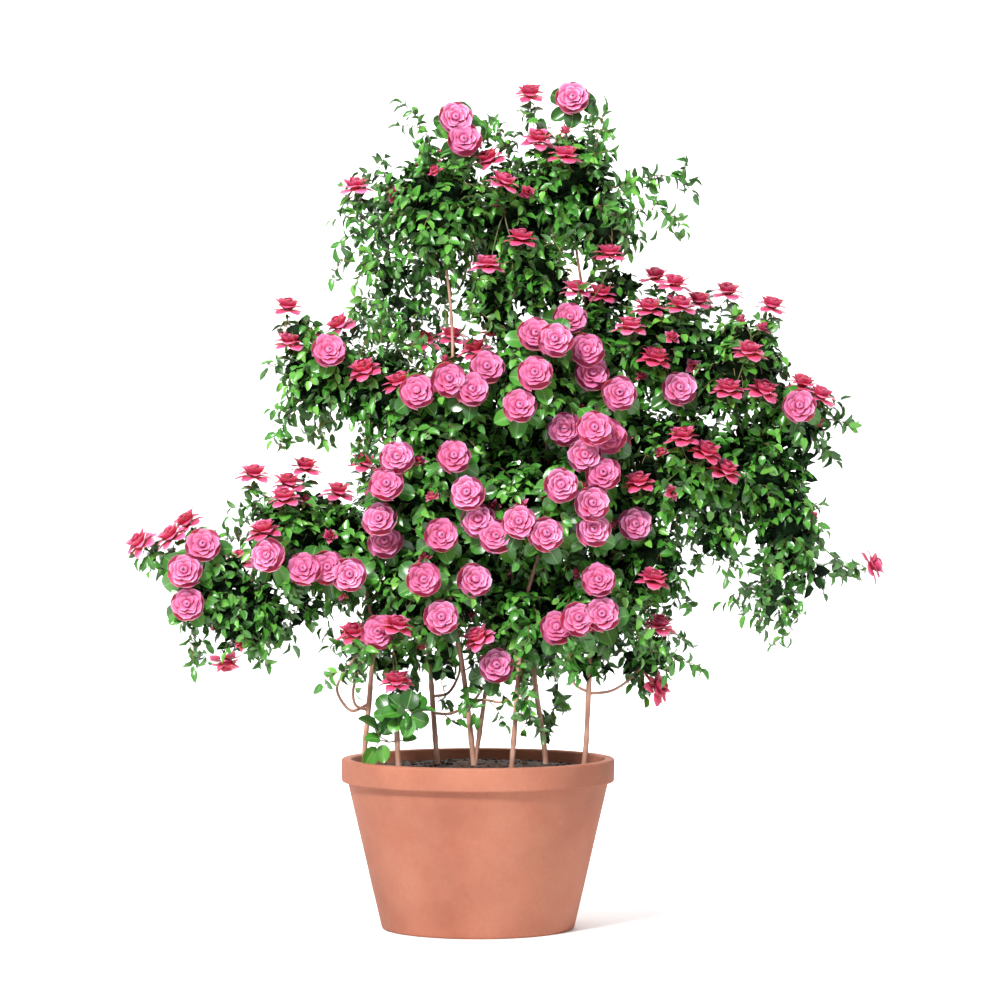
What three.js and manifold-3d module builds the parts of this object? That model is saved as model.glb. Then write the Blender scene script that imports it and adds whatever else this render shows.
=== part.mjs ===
// A climbing rose in a plain round pot, in millimetres, +Z up, seen from the front along +Y.
// Woody canes stand in holes in the soil and carry lumps of foliage. Each truss of roses stands on a
// lump.
// Places across and up are pixels of the photograph, and depths are millimetres behind the pot's middle.
import * as THREE from "three";
import { mergeVertices } from "three/addons/utils/BufferGeometryUtils.js";
import Module from "manifold-3d";

const wasm = await Module();
wasm.setup();

// Driving dimensions
const BLOOM_RADIUS = 44;
const MM_PER_PIXEL = 2.6; // a rose is 34 pixels across
const AXIS_PX = 478; // the pot's axis in the photograph
const GROUND_PX = 933; // where the canes meet the ground in the photograph
const POT_HEIGHT = 440;
const POT_FOOT_RADIUS = 250;
const POT_RIM_RADIUS = 355;
const RIM_BAND = 60;
const WALL = 18;
const SOIL_BELOW_RIM = 32;
const ROOT_DEPTH = 120;
const CANE_RADIUS = 7.8;
const CANE_TIP_RADIUS = 3.2;
const TWIG_RADIUS = 3;
const PEDICEL_RADIUS = 2.4;
const LEAF_LENGTH = 54;
const LEAF_WIDTH = 30;
const CLEAR = 0.4; // between pieces that touch
const ROUND_SIDES = 20;
const CANE_SIDES = 5;

const COLOURS = {
  clay: 0xb5654a,
  soil: 0x3a2a1e,
  bark: 0x9b6a58,
  leaf: 0x2f7a2c,
  petal: 0xe86a9a,
};

// The point at a pixel of the photograph and a depth.
function place(px, py, depth) {
  return new THREE.Vector3(
    (px - AXIS_PX) * MM_PER_PIXEL,
    depth,
    POT_HEIGHT + (GROUND_PX - py) * MM_PER_PIXEL,
  );
}

// Foliage. A lump is [px, py, depth, half width px, half height px, half depth], and a spray is a list of
// [px, py, depth] from near a lump out to the shoot's tip.
const FOLIAGE = {
  top_left: {
    lumps: [[440, 384, -20, 56, 60, 140]],
    sprays: [
      [[424, 318, -30], [418, 292, -30]],
      [[390, 362, 0], [376, 338, 10]],
      [[384, 408, 0], [352, 386, -10]],
      [[392, 430, -40], [362, 440, -50], [340, 436, -40]],
      [[410, 452, 30], [386, 470, 30], [362, 472, 20]],
      [[388, 384, 20], [366, 374, 10], [344, 382, 0]],
      [[452, 446, 10], [444, 478, 20], [450, 512, 10]],
      [[470, 440, -30], [474, 472, -40], [466, 500, -50]],
      [[424, 444, 30], [420, 480, 40], [412, 510, 40]],
      [[488, 440, 20], [492, 474, 30], [486, 506, 40]],
      [[394, 398, -20], [372, 404, -30], [350, 414, -40]],
      [[474, 334, 0], [484, 314, 0], [488, 298, 0]],
    ],
  },
  top_right: {
    lumps: [
      [518, 398, 40, 42, 64, 120],
      [572, 362, 0, 44, 58, 110],
      [602, 400, 20, 33, 33, 85],
      [540, 454, 20, 30, 34, 90],
    ],
    sprays: [
      [[594, 330, -10], [604, 288, -10]],
      [[508, 330, 20], [498, 300, 20]],
      [[616, 364, 0], [655, 352, 10], [692, 356, 20]],
      [[614, 396, -30], [645, 390, -40], [674, 396, -50]],
      [[600, 404, 40], [628, 416, 50], [650, 412, 60]],
      [[530, 440, 40], [540, 486, 30]],
      [[512, 444, 10], [510, 486, 0]],
      [[552, 412, 0], [572, 450, -10]],
      [[548, 326, 30], [542, 308, 40], [538, 298, 44]],
    ],
  },
  left: {
    lumps: [[322, 549, 10, 40, 38, 105], [380, 567, 0, 42, 40, 105]],
    sprays: [
      [[300, 582, 0], [284, 600, -10], [274, 616, -20]],
      [[330, 586, 20], [318, 602, 10], [302, 618, 0]],
      [[372, 600, -10], [370, 616, -30], [366, 630, -40]],
      [[350, 535, 30], [352, 500, 40], [360, 470, 40]],
      [[382, 550, 10], [388, 516, 0], [380, 480, -10]],
      [[300, 534, 30], [284, 540, 40], [272, 536, 40]],
      [[400, 540, 20], [408, 504, 20], [416, 468, 10]],
      [[362, 530, -20], [374, 506, -30], [394, 494, -30]],
    ],
  },
  centre_upper: {
    lumps: [[446, 588, -20, 64, 52, 185], [428, 667, -10, 61, 56, 190]],
    sprays: [
      [[448, 545, 60], [440, 512, 60], [436, 478, 50]],
      [[424, 552, -60], [408, 530, -60], [402, 500, -60]],
      [[378, 680, 40], [368, 664, 50], [352, 660, 50]],
    ],
  },
  centre_right: {
    lumps: [[534, 562, -30, 48, 58, 185], [609, 602, 20, 44, 58, 165], [592, 522, 10, 36, 42, 130]],
    sprays: [[[606, 548, 60], [606, 510, 70], [598, 492, 70]]],
  },
  centre: { lumps: [[546, 680, -20, 78, 66, 205]], sprays: [] },
  low_left: {
    lumps: [[425, 767, 0, 64, 60, 185]],
    sprays: [
      [[376, 796, 30], [352, 818, 40], [328, 824, 40]],
      [[390, 802, 40], [366, 832, 50], [346, 848, 50]],
      [[442, 812, 90], [446, 836, 95]],
      [[386, 820, -50], [360, 840, -55], [336, 846, -60]],
      [[412, 828, 30], [416, 852, 30], [408, 872, 30]],
      [[470, 820, -20], [474, 848, -20], [464, 874, -20]],
    ],
  },
  low_middle: {
    lumps: [[520, 794, 20, 46, 50, 175], [594, 772, -10, 52, 56, 155], [646, 738, 0, 38, 46, 110]],
    sprays: [
      [[636, 758, 20], [664, 768, 30], [690, 778, 30]],
      [[624, 800, -30], [654, 822, -40], [690, 838, -50]],
      [[612, 812, 40], [632, 850, 60]],
      [[552, 834, 60], [556, 876, 70], [550, 914, 70]],
      [[575, 812, -60], [568, 846, -80]],
      [[520, 842, -40], [528, 872, -50], [524, 900, -50]],
      [[646, 786, 20], [664, 808, 20], [686, 816, 20]],
    ],
  },
  right_upper: {
    lumps: [[662, 522, 10, 47, 51, 135], [738, 541, -10, 46, 50, 135], [790, 592, 0, 36, 34, 105]],
    sprays: [
      [[820, 592, 0], [848, 602, 0]],
      [[812, 614, 20], [838, 636, 30]],
      [[768, 510, 20], [776, 486, 20]],
      [[700, 492, 40], [708, 470, 50]],
    ],
  },
  right_lower: {
    lumps: [[678, 640, -20, 54, 64, 150], [750, 645, 10, 46, 59, 125], [785, 702, 0, 29, 52, 80]],
    sprays: [
      [[788, 750, 0], [793, 780, -10], [790, 812, -10]],
      [[770, 745, 20], [763, 775, 30], [768, 806, 30]],
      [[806, 724, 16], [830, 750, 18], [852, 752, 16]],
      [[738, 694, -10], [732, 724, -20], [726, 752, -20]],
      [[804, 686, -20], [824, 706, -30]],
      [[700, 700, 10], [704, 724, 10], [697, 744, 0]],
      [[774, 748, -10], [754, 768, -20], [744, 790, -20]],
    ],
  },
  left_arm: {
    lumps: [[346, 727, 10, 40, 54, 125], [293, 720, 0, 46, 52, 130]],
    sprays: [
      [[264, 696, 20], [252, 676, 10]],
      [[338, 752, 30], [326, 784, 50]],
      [[300, 744, -30], [292, 776, -40]],
      [[356, 776, 0], [360, 800, 0]],
    ],
  },
  left_tip: {
    lumps: [[211, 756, -10, 40, 43, 110], [250, 789, 10, 40, 37, 110]],
    sprays: [
      [[176, 748, 0], [156, 738, 0], [136, 732, -10]],
      [[206, 784, -20], [192, 812, -30], [196, 832, -30]],
      [[252, 810, 0], [268, 838, -20]],
      [[270, 806, 20], [290, 822, 30]],
      [[226, 722, 30], [240, 700, 40]],
    ],
  },
  base_shoot: {
    lumps: [[398, 881, -147, 4.5, 4.5, 12]],
    size: 1.25,
    sprays: [
      [[390, 874, -150], [378, 868, -160]],
      [[406, 878, -150], [424, 880, -140], [440, 884, -130]],
      [[391, 889, -140], [381, 902, -130], [375, 914, -120]],
      [[402, 872, -150], [411, 858, -156]],
      [[405, 889, -151], [416, 899, -158], [424, 908, -162]],
      [[390, 881, -153], [371, 889, -168]],
    ],
  },
};

// Canes. A stem is a list of [px, py, depth, radius], and the first stem starts in the soil.
// Twigs are the thin side shoots, many of them arched loops low on the plant.
const CANES = {
  cane_1: {
    root: [366, -70],
    stems: [
      [[371, 863, -66], [373, 800, -30], [350, 728, 10], [298, 714, 0], [250, 726, -4], [214, 752, -8]],
      [[262, 722, -2], [252, 752, 6], [246, 780, 10]],
    ],
    twigs: [
      [[369, 878, -68], [352, 884, -76], [339, 866, -84], [343, 850, -80], [360, 826, -60]],
      [[370, 884, -66], [357, 878, -96], [355, 862, -100], [360, 845, -92]],
    ],
  },
  cane_2: { root: [401, -150], stems: [[[398, 884, -146]]], twigs: [] },
  cane_3: {
    root: [437, 60],
    stems: [
      [[429, 833, 62], [426, 762, 50], [404, 690, 90], [388, 628, 40], [362, 577, 6], [318, 552, 10]],
    ],
    twigs: [
      [[433, 873, 61], [448, 869, 40], [458, 852, 20], [460, 838, 16]],
      [[433, 890, 60], [452, 889, 30], [474, 876, 20], [490, 850, 30]],
    ],
  },
  cane_4: {
    root: [474, -20],
    stems: [
      [[463, 845, -30], [448, 760, -96], [436, 672, -60], [450, 590, -50], [452, 500, -30],
       [440, 395, -20]],
      [[474, 945, -20], [486, 861, 0], [492, 790, 100], [494, 680, 120], [500, 590, 60], [498, 480, 40],
       [512, 400, 40]],
    ],
    twigs: [[[468, 881, -24], [482, 874, -50], [500, 876, -70], [508, 872, -74]]],
  },
  cane_5: {
    root: [511, -120],
    stems: [[[518, 849, -116], [522, 788, -70], [548, 690, -60], [546, 620, -60], [546, 570, -40]]],
    twigs: [[[514, 888, -118], [526, 886, -130], [536, 892, -140]]],
  },
  cane_6: {
    root: [546, 70],
    stems: [
      [[534, 829, 74], [556, 740, 90], [584, 672, 60], [608, 608, 20], [594, 520, 10], [580, 450, 0],
       [570, 375, 0]],
      [[606, 590, 18], [636, 552, 30], [668, 530, 20], [704, 532, 0], [740, 546, -6], [770, 572, -4],
       [794, 598, 0]],
    ],
    twigs: [[[538, 862, 73], [527, 876, 90], [520, 900, 110]]],
  },
  cane_7: {
    root: [583, -40],
    stems: [
      [[589, 850, -44], [596, 774, -14], [630, 700, -30], [680, 640, -20], [720, 640, 0], [752, 654, 10],
       [782, 704, 0]],
    ],
    twigs: [
      [[589, 867, -43], [574, 858, -60], [567, 840, -70]],
      [[588, 868, -42], [612, 865, -30], [634, 850, -20], [648, 832, -20]],
    ],
  },
};

// Trusses. front roses are [px, py] and face the viewer, and back roses are [px, py] and face away. The
// others are [px, py, depth, lean, tip], and face up, leaning to the right and tipping to the front in
// degrees.
const TRUSSES = {
  top_left: { lump: ["top_left", 0], front: [[456, 295], [464, 317]] },
  top_left_back: { lump: ["top_left", 0], back: [[430, 345], [456, 388]] },
  left_wing: { lump: ["top_left", 0], other: [[355, 361, -10, -4, 10]] },
  top_right: {
    lump: ["top_right", 1],
    front: [[572, 275]],
    other: [[530, 267, 20, 0, 18], [538, 315, -40, 8, 25], [564, 335, -140, 4, 10]],
  },
  top_mid: {
    lump: ["top_right", 0],
    other: [
      [488, 334, -20, -25, 15], [504, 360, -110, 20, 10], [521, 416, -110, 6, 10], [487, 441, -90, 3, 12],
    ],
  },
  top_right_back: { lump: ["top_right", 1], back: [[556, 350], [582, 384]] },
  left: {
    lump: ["left", 0],
    front: [[331, 528]],
    other: [
      [287, 481, 20, 4, 8], [290, 516, -10, 2, 12], [338, 499, 30, -30, 15], [365, 545, 20, -20, 20],
    ],
  },
  centre_1_top: {
    lump: ["centre_upper", 0],
    other: [
      [423, 514, 60, 4, 15], [452, 510, 10, 6, 10], [475, 524, -40, -8, 18], [400, 558, -120, -14, 12],
      [494, 502, 40, 4, 8],
    ],
  },
  centre_1: { lump: ["centre_upper", 0], front: [[472, 568], [450, 558], [419, 569], [487, 545]] },
  centre_2: {
    lump: ["centre_right", 0],
    front: [[534, 513], [569, 496], [554, 519], [585, 528], [590, 551], [534, 552], [519, 584]],
    other: [[576, 465, -50, 2, 8], [600, 469, -40, 6, 10], [609, 429, -50, 2, 6]],
  },
  centre_3: {
    lump: ["centre_right", 1],
    front: [[617, 571], [583, 632], [606, 613], [564, 606], [592, 605], [601, 650]],
  },
  centre_4: { lump: ["centre_upper", 1], front: [[455, 633], [389, 660], [399, 634]] },
  centre_4_side: {
    lump: ["centre_upper", 1],
    front: [[382, 694], [387, 716], [442, 710]],
    other: [[364, 637, 30, 6, 12]],
  },
  centre_5: {
    lump: ["centre", 0],
    front: [[479, 695], [468, 669], [496, 711], [519, 697], [545, 709]],
  },
  centre_5_right: {
    lump: ["centre", 0],
    front: [[559, 661], [589, 679], [591, 704], [633, 699]],
  },
  centre_6: { lump: ["low_left", 0], front: [[425, 753], [475, 754], [443, 790]] },
  centre_6_low: {
    lump: ["low_left", 0],
    front: [[381, 805]],
    other: [[355, 806, -20, -6, 15], [398, 853, -110, 0, 14], [399, 797, -60, 10, 10]],
  },
  centre_7: { lump: ["low_middle", 0], front: [[496, 839]], other: [[478, 810, -120, -30, 20]] },
  centre_8: { lump: ["low_middle", 1], front: [[596, 754], [577, 792], [556, 801], [600, 787]] },
  low_right: {
    lump: ["low_middle", 1],
    other: [[659, 799, -20, 6, 14], [658, 862, -30, 62, 20], [651, 752, 10, 10, 14]],
  },
  right_1: {
    lump: ["right_upper", 0],
    other: [
      [656, 450, 30, 2, 8], [674, 459, -50, 8, 10], [647, 484, -60, 2, 10], [679, 482, -110, 4, 10],
      [699, 475, 10, 6, 10], [628, 503, -130, 2, 12],
    ],
  },
  right_1_front: { lump: ["right_upper", 0], front: [[677, 565]], other: [[653, 534, -110, 10, 14]] },
  right_2: {
    lump: ["right_upper", 1],
    other: [
      [729, 465, 20, 4, 10], [772, 480, 0, 12, 10], [745, 528, -120, 8, 14], [760, 566, -110, 18, 16],
      [725, 565, -120, 4, 14],
    ],
  },
  right_tip: {
    lump: ["right_upper", 2],
    front: [[795, 583]],
    other: [[801, 559, 12, 8, 10], [818, 571, -12, 18, 8]],
  },
  right_3: {
    lump: ["right_lower", 0],
    other: [
      [679, 612, -110, 0, 12], [703, 627, -130, 20, 16], [722, 645, -140, 20, 16],
      [637, 657, -100, -4, 14],
    ],
  },
  right_end: { lump: ["right_lower", 2], other: [[874, 740, 0, 66, 8]] },
  left_arm_top: {
    lump: ["left_arm", 1],
    other: [
      [254, 648, 0, 2, 10], [305, 641, 10, 4, 8], [290, 657, -60, 0, 10], [287, 672, -110, -4, 12],
      [338, 666, 0, 4, 10], [267, 704, -140, -12, 14],
    ],
  },
  left_arm: { lump: ["left_arm", 0], front: [[330, 742], [308, 743], [352, 749], [273, 730]] },
  left_tip: {
    lump: ["left_tip", 0],
    front: [[207, 720], [190, 745], [192, 778]],
    other: [
      [186, 696, 20, -32, 12], [139, 717, 0, -42, 20], [172, 710, -40, -34, 14], [238, 734, 20, 0, 12],
    ],
  },
  left_tip_low: { lump: ["left_tip", 1], other: [[226, 838, -10, 170, 12]] },
  centre_1_back: { lump: ["centre_upper", 0], back: [[430, 572], [472, 600], [440, 640]] },
  centre_2_back: { lump: ["centre_right", 0], back: [[532, 540], [560, 580]] },
  centre_5_back: { lump: ["centre", 0], back: [[510, 664], [560, 680], [530, 712]] },
  centre_6_back: { lump: ["low_left", 0], back: [[405, 742], [440, 772]] },
  right_1_back: { lump: ["right_upper", 0], back: [[668, 525]] },
  right_2_back: { lump: ["right_upper", 1], back: [[740, 545]] },
  left_arm_back: { lump: ["left_arm", 1], back: [[290, 705], [322, 722]] },
};

// A number from 0 to 1 that depends on its index alone.
function scatter(index) {
  const wave = Math.sin(index * 12.9898) * 43758.5453;
  return wave - Math.floor(wave);
}

// A seeded run of numbers from 0 to 1.
function draws(seed) {
  let state = seed;
  return () => (state = (state * 16807) % 2147483647) / 2147483647;
}

// A closed geometry as a solid that can be joined and cut.
function solidOf(geometry) {
  const bare = new THREE.BufferGeometry();
  bare.setAttribute("position", geometry.getAttribute("position"));
  if (geometry.index) bare.setIndex(geometry.index);
  const merged = mergeVertices(bare, 1e-3);
  return new wasm.Manifold(
    new wasm.Mesh({
      numProp: 3,
      vertProperties: new Float32Array(merged.attributes.position.array),
      triVerts: new Uint32Array(merged.index.array),
    }),
  );
}

// A solid from its corners and triangles.
function solidFrom(corners, triangles) {
  const geometry = new THREE.BufferGeometry();
  const flat = corners.flatMap((corner) => corner.toArray());
  geometry.setAttribute("position", new THREE.Float32BufferAttribute(flat, 3));
  geometry.setIndex(triangles.flat());
  return solidOf(geometry);
}

function join(solids) {
  return solids.reduce((whole, piece) => whole.add(piece));
}

// The largest body of a solid, without the scraps that a cut leaves.
function mainBody(solid) {
  return solid.decompose().reduce((a, b) => (a.volume() > b.volume() ? a : b));
}

// Triangles between two rings of corner numbers that turn the same way from the same side.
function bridge(lower, upper) {
  const triangles = [];
  let low = 0;
  let high = 0;
  while (low < lower.length || high < upper.length) {
    const a = lower[low % lower.length];
    const b = upper[high % upper.length];
    const lowFirst = (low + 1) / lower.length <= (high + 1) / upper.length;
    if (lowFirst) triangles.push([a, lower[++low % lower.length], b]);
    else triangles.push([a, upper[++high % upper.length], b]);
  }
  return triangles;
}

// Frames along a path, square to it and with no twist. The last one can be given its own direction.
function framesAlong(path, side, lastDirection) {
  const across = side.clone();
  return path.map((point, k) => {
    const before = path[Math.max(k - 1, 0)];
    const after = path[Math.min(k + 1, path.length - 1)];
    const last = k === path.length - 1 && lastDirection;
    const along = last ? lastDirection.clone() : after.clone().sub(before).normalize();
    across.addScaledVector(along, -across.dot(along)).normalize();
    const other = new THREE.Vector3().crossVectors(along, across);
    return { point, along, across: across.clone(), other };
  });
}

// Corners round a frame, height along it, with turn as a part of the step between corners.
function ring({ point, along, across, other }, count, radius, height = 0, turn = 0) {
  return Array.from({ length: count }, (_, k) => {
    const angle = (2 * Math.PI * (k + turn)) / count;
    return point
      .clone()
      .addScaledVector(along, height)
      .addScaledVector(across, radius * Math.cos(angle))
      .addScaledVector(other, radius * Math.sin(angle));
  });
}

function numbers(start, count) {
  return Array.from({ length: count }, (_, k) => start + k);
}

// A closed tube with a ring at each point of its path, its radius going evenly from start to end.
function tube(path, start, end, sides, side = new THREE.Vector3(0.3, 0.9, 0.2)) {
  const last = path.length - 1;
  const radius = (k) => start + ((end - start) * k) / last;
  const rings = framesAlong(path, side).map((frame, k) => ring(frame, sides, radius(k)));
  const triangles = [];
  for (let k = 0; k < last; k++) {
    triangles.push(...bridge(numbers(k * sides, sides), numbers((k + 1) * sides, sides)));
  }
  for (let k = 1; k < sides - 1; k++) {
    triangles.push([0, k + 1, k]);
    triangles.push([last * sides, last * sides + k, last * sides + k + 1]);
  }
  return solidFrom(rings.flat(), triangles);
}

function pot() {
  const outline = [
    [0, 0],
    [POT_FOOT_RADIUS, 0],
    [POT_RIM_RADIUS - 16, POT_HEIGHT - RIM_BAND],
    [POT_RIM_RADIUS, POT_HEIGHT - RIM_BAND],
    [POT_RIM_RADIUS, POT_HEIGHT],
    [POT_RIM_RADIUS - WALL - 8, POT_HEIGHT],
    [POT_RIM_RADIUS - WALL - 16, POT_HEIGHT - RIM_BAND],
    [POT_FOOT_RADIUS - WALL, WALL + 4],
    [0, WALL + 4],
  ].map(([radius, z]) => new THREE.Vector2(radius, z));
  const shell = new THREE.LatheGeometry(outline, ROUND_SIDES).rotateX(Math.PI / 2);
  const drains = [0, 1, 2, 3].map((k) => {
    const angle = (Math.PI / 2) * k + Math.PI / 4;
    const drain = new THREE.CylinderGeometry(14, 14, 4 * WALL, 6).rotateX(Math.PI / 2);
    return solidOf(drain.translate(110 * Math.cos(angle), 110 * Math.sin(angle), 0));
  });
  return solidOf(shell).subtract(join(drains));
}

// The soil fills the pot up to just under the rim, a little clear of the wall, and is slightly domed.
function soil() {
  const top = POT_HEIGHT - SOIL_BELOW_RIM;
  const inner = POT_RIM_RADIUS - WALL - 16;
  const bandSlope = 8 / RIM_BAND;
  const outline = [
    [0, WALL + 4 + CLEAR],
    [POT_FOOT_RADIUS - WALL - 1, WALL + 4 + CLEAR],
    [inner - 1, POT_HEIGHT - RIM_BAND],
    [inner - 1 + bandSlope * (RIM_BAND - SOIL_BELOW_RIM), top],
    [0, top + 12],
  ].map(([radius, z]) => new THREE.Vector2(radius, z));
  return solidOf(new THREE.LatheGeometry(outline, ROUND_SIDES).rotateX(Math.PI / 2));
}

// The paths of a cane's stems, the first one starting in the soil and leaning a little out of its middle.
const ROOT_LEAN = 0.84;
function stemPaths({ root, stems }) {
  const foot = place(root[0], GROUND_PX, root[1]);
  foot.set(foot.x * ROOT_LEAN, foot.y * ROOT_LEAN, POT_HEIGHT - SOIL_BELOW_RIM - ROOT_DEPTH);
  const ground = place(root[0], GROUND_PX + 10, root[1]);
  return stems.map((stem, index) => {
    const rooted = index === 0 ? [foot, ground] : [];
    return [...rooted, ...stem.map((p) => place(...p))];
  });
}

// A cane with its side stems and twigs, or a hole with fewer sides that they fit in, extra wider all
// round.
function cane(spec, extra = 0, sides = CANE_SIDES) {
  const outside = sides < CANE_SIDES ? 1 / Math.cos(Math.PI / sides) : 1;
  const widen = (radius) => (radius + extra) * outside;
  const tubes = stemPaths(spec).map((path, index) => {
    const start = index === 0 ? CANE_RADIUS : CANE_RADIUS - 1.8;
    const end = path.length > 3 ? CANE_TIP_RADIUS : CANE_RADIUS - 1.5;
    return tube(path, widen(start), widen(end), sides);
  });
  const loops = spec.twigs.map((twig) => {
    const path = twig.map((p) => place(...p));
    return tube(path, TWIG_RADIUS + extra, TWIG_RADIUS - 0.6 + extra, 3);
  });
  return join([...tubes, ...loops]);
}

// A lump of foliage spreads to its leaves' tips, and its core is a smaller share of that.
const CORE_SHARE = 0.86;
function lumpOf([px, py, depth, halfWidth, halfHeight, halfDepth]) {
  const spread = new THREE.Vector3(halfWidth * MM_PER_PIXEL, halfDepth, halfHeight * MM_PER_PIXEL);
  return { centre: place(px, py, depth), spread, half: spread.clone().multiplyScalar(CORE_SHARE) };
}

// The facets of a lump's rough core, grown by extra. Some of them can carry a leaf's tip, raised from the
// whole facet and leaning to one of its corners, and the others stay plain.
const ROUGHNESS = 0.12;
const TIP_SHARE = 0.34;
const TIP_RISE = 30;
const SMALL_CORE = 73;
const LARGE_CORE = 96;
function coreFacets({ centre, half }, extra = 0) {
  const size = (half.x + half.y + half.z) / 3;
  const ball =
    size < SMALL_CORE
      ? new THREE.IcosahedronGeometry(1, 0)
      : size < LARGE_CORE
        ? new THREE.OctahedronGeometry(1, 1)
        : new THREE.IcosahedronGeometry(1, 1);
  const spots = ball.getAttribute("position");
  const corner = (k) => {
    const spot = new THREE.Vector3().fromBufferAttribute(spots, k);
    const key = Math.round(spot.x * 20) + 41 * Math.round(spot.y * 20) + 1681 * Math.round(spot.z * 20);
    const share = 1 - ROUGHNESS * scatter(key + Math.round(centre.x));
    return spot.multiply(half.clone().addScalar(extra)).multiplyScalar(share).add(centre);
  };
  return Array.from({ length: spots.count / 3 }, (_, k) => {
    const corners = [corner(3 * k), corner(3 * k + 1), corner(3 * k + 2)];
    const middle = corners[0].clone().add(corners[1]).add(corners[2]).divideScalar(3);
    const normal = new THREE.Triangle(...corners).getNormal(new THREE.Vector3());
    const draw = scatter(k * 3 + Math.round(centre.z));
    const tip = middle.clone().addScaledVector(normal, TIP_RISE * (0.7 + 0.7 * draw) + 2 * extra);
    tip.lerp(tip.clone().add(corners[k % 3]).sub(middle), 0.5 + 0.4 * draw);
    return { corners, middle, normal, tip, plain: draw > TIP_SHARE || half.z < 20 };
  });
}

function core(lump, extra = 0) {
  const points = coreFacets(lump, extra).flatMap(({ corners: [a, b, c], tip }, k) =>
    lump.tips[k] ? [a, b, tip, b, c, tip, c, a, tip] : [a, b, c],
  );
  return solidOf(new THREE.BufferGeometry().setFromPoints(points));
}

// The plain facets of a core, on which shoots and trusses stand.
function facetsOf(lump) {
  const plain = coreFacets(lump).filter((facet) => facet.plain);
  return plain.map(({ middle, normal }) => ({ centre: middle, normal, lump }));
}

const lumps = {};
for (const [name, { lumps: list }] of Object.entries(FOLIAGE)) lumps[name] = list.map(lumpOf);
const allLumps = Object.values(lumps).flat();

// How far out a point is from a lump's centre, 1 being on its core grown by margin.
function reach(point, { centre, half }, margin) {
  const d = point.clone().sub(centre);
  return Math.hypot(d.x / (half.x + margin), d.y / (half.y + margin), d.z / (half.z + margin));
}

// The outward direction of a lump's surface at a point.
function outward(point, { centre, half }) {
  return point.clone().sub(centre).divide(half).divide(half).normalize();
}

// Balls that leaves and roses keep clear of, each with the node that it belongs to.
const balls = [];
function addBalls(path, radius, node) {
  for (let k = 1; k < path.length; k++) {
    const count = Math.ceil(path[k].distanceTo(path[k - 1]) / (radius + 4));
    for (let j = 0; j <= count; j++) {
      const centre = path[k - 1].clone().lerp(path[k], j / count);
      balls.push({ centre, radius, node });
    }
  }
}
for (const [name, spec] of Object.entries(CANES)) {
  for (const path of stemPaths(spec)) addBalls(path, CANE_RADIUS, name);
  for (const twig of spec.twigs) addBalls(twig.map((p) => place(...p)), TWIG_RADIUS, name);
}
const caneBalls = [...balls];

// Moves a point along the depth, to the front or the back, until it clears every lump's spread by margin.
function clearDepth(point, side, margin) {
  for (const { centre, spread } of allLumps) {
    const across = (point.x - centre.x) / (spread.x + margin);
    const up = (point.z - centre.z) / (spread.z + margin);
    const rest = 1 - across * across - up * up;
    if (rest <= 0) continue;
    const limit = centre.y + side * (spread.y + margin) * Math.sqrt(rest);
    if (side * (limit - point.y) > 0) point.y = limit;
  }
}

// Every rose with its centre, the axis that it faces along and its truss, clear of what was placed
// before.
const FACING_MARGIN = 34;
const SIDE_MARGIN = 12;
const SAME_TRUSS_GAP = 62;
const OTHER_TRUSS_GAP = 86;
const CANE_GAP = BLOOM_RADIUS + 12;
const blooms = [];
function addBloom(truss, centre, axis, side, margin) {
  clearDepth(centre, side, margin);
  for (let moved = true, tries = 0; moved && tries < 60; tries++) {
    moved = false;
    const gapTo = (b) => (b.truss === truss ? SAME_TRUSS_GAP : OTHER_TRUSS_GAP);
    const nearest = [
      ...blooms.map((b) => gapTo(b) - centre.distanceTo(b.centre)),
      ...caneBalls.map((ball) => CANE_GAP - centre.distanceTo(ball.centre)),
    ];
    const worst = Math.max(...nearest);
    if (worst <= 0) continue;
    centre.y += side * Math.min(worst + 1, 12);
    moved = true;
  }
  blooms.push({ truss, centre, axis: axis.normalize(), spin: 2 * Math.PI * scatter(blooms.length) });
}

for (const [name, { lump, front = [], back = [], other = [] }] of Object.entries(TRUSSES)) {
  const base = lumps[lump[0]][lump[1]];
  for (const [px, py] of front) {
    const centre = place(px, py, base.centre.y - 30);
    const aside = (centre.x - base.centre.x) / base.half.x;
    const lean = 0.16 * aside + 0.2 * (scatter(px * 7 + py) - 0.5);
    const rise = 0.46 + 0.24 * (scatter(px + py * 5) - 0.5);
    addBloom(name, centre, new THREE.Vector3(lean, -1, rise), -1, FACING_MARGIN);
  }
  for (const [px, py] of back) {
    const centre = place(px, py, base.centre.y + 30);
    const lean = 0.5 * (scatter(px * 3 + py) - 0.5);
    addBloom(name, centre, new THREE.Vector3(lean, 1, 0.35), 1, FACING_MARGIN);
  }
  for (const [px, py, depth, lean, tip] of other) {
    const [leaning, tipping] = [lean, tip].map(THREE.MathUtils.degToRad);
    const axis = new THREE.Vector3(Math.sin(leaning), -Math.sin(tipping), Math.cos(leaning));
    addBloom(name, place(px, py, depth), axis, depth > base.centre.y + 25 ? 1 : -1, SIDE_MARGIN);
  }
}

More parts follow.
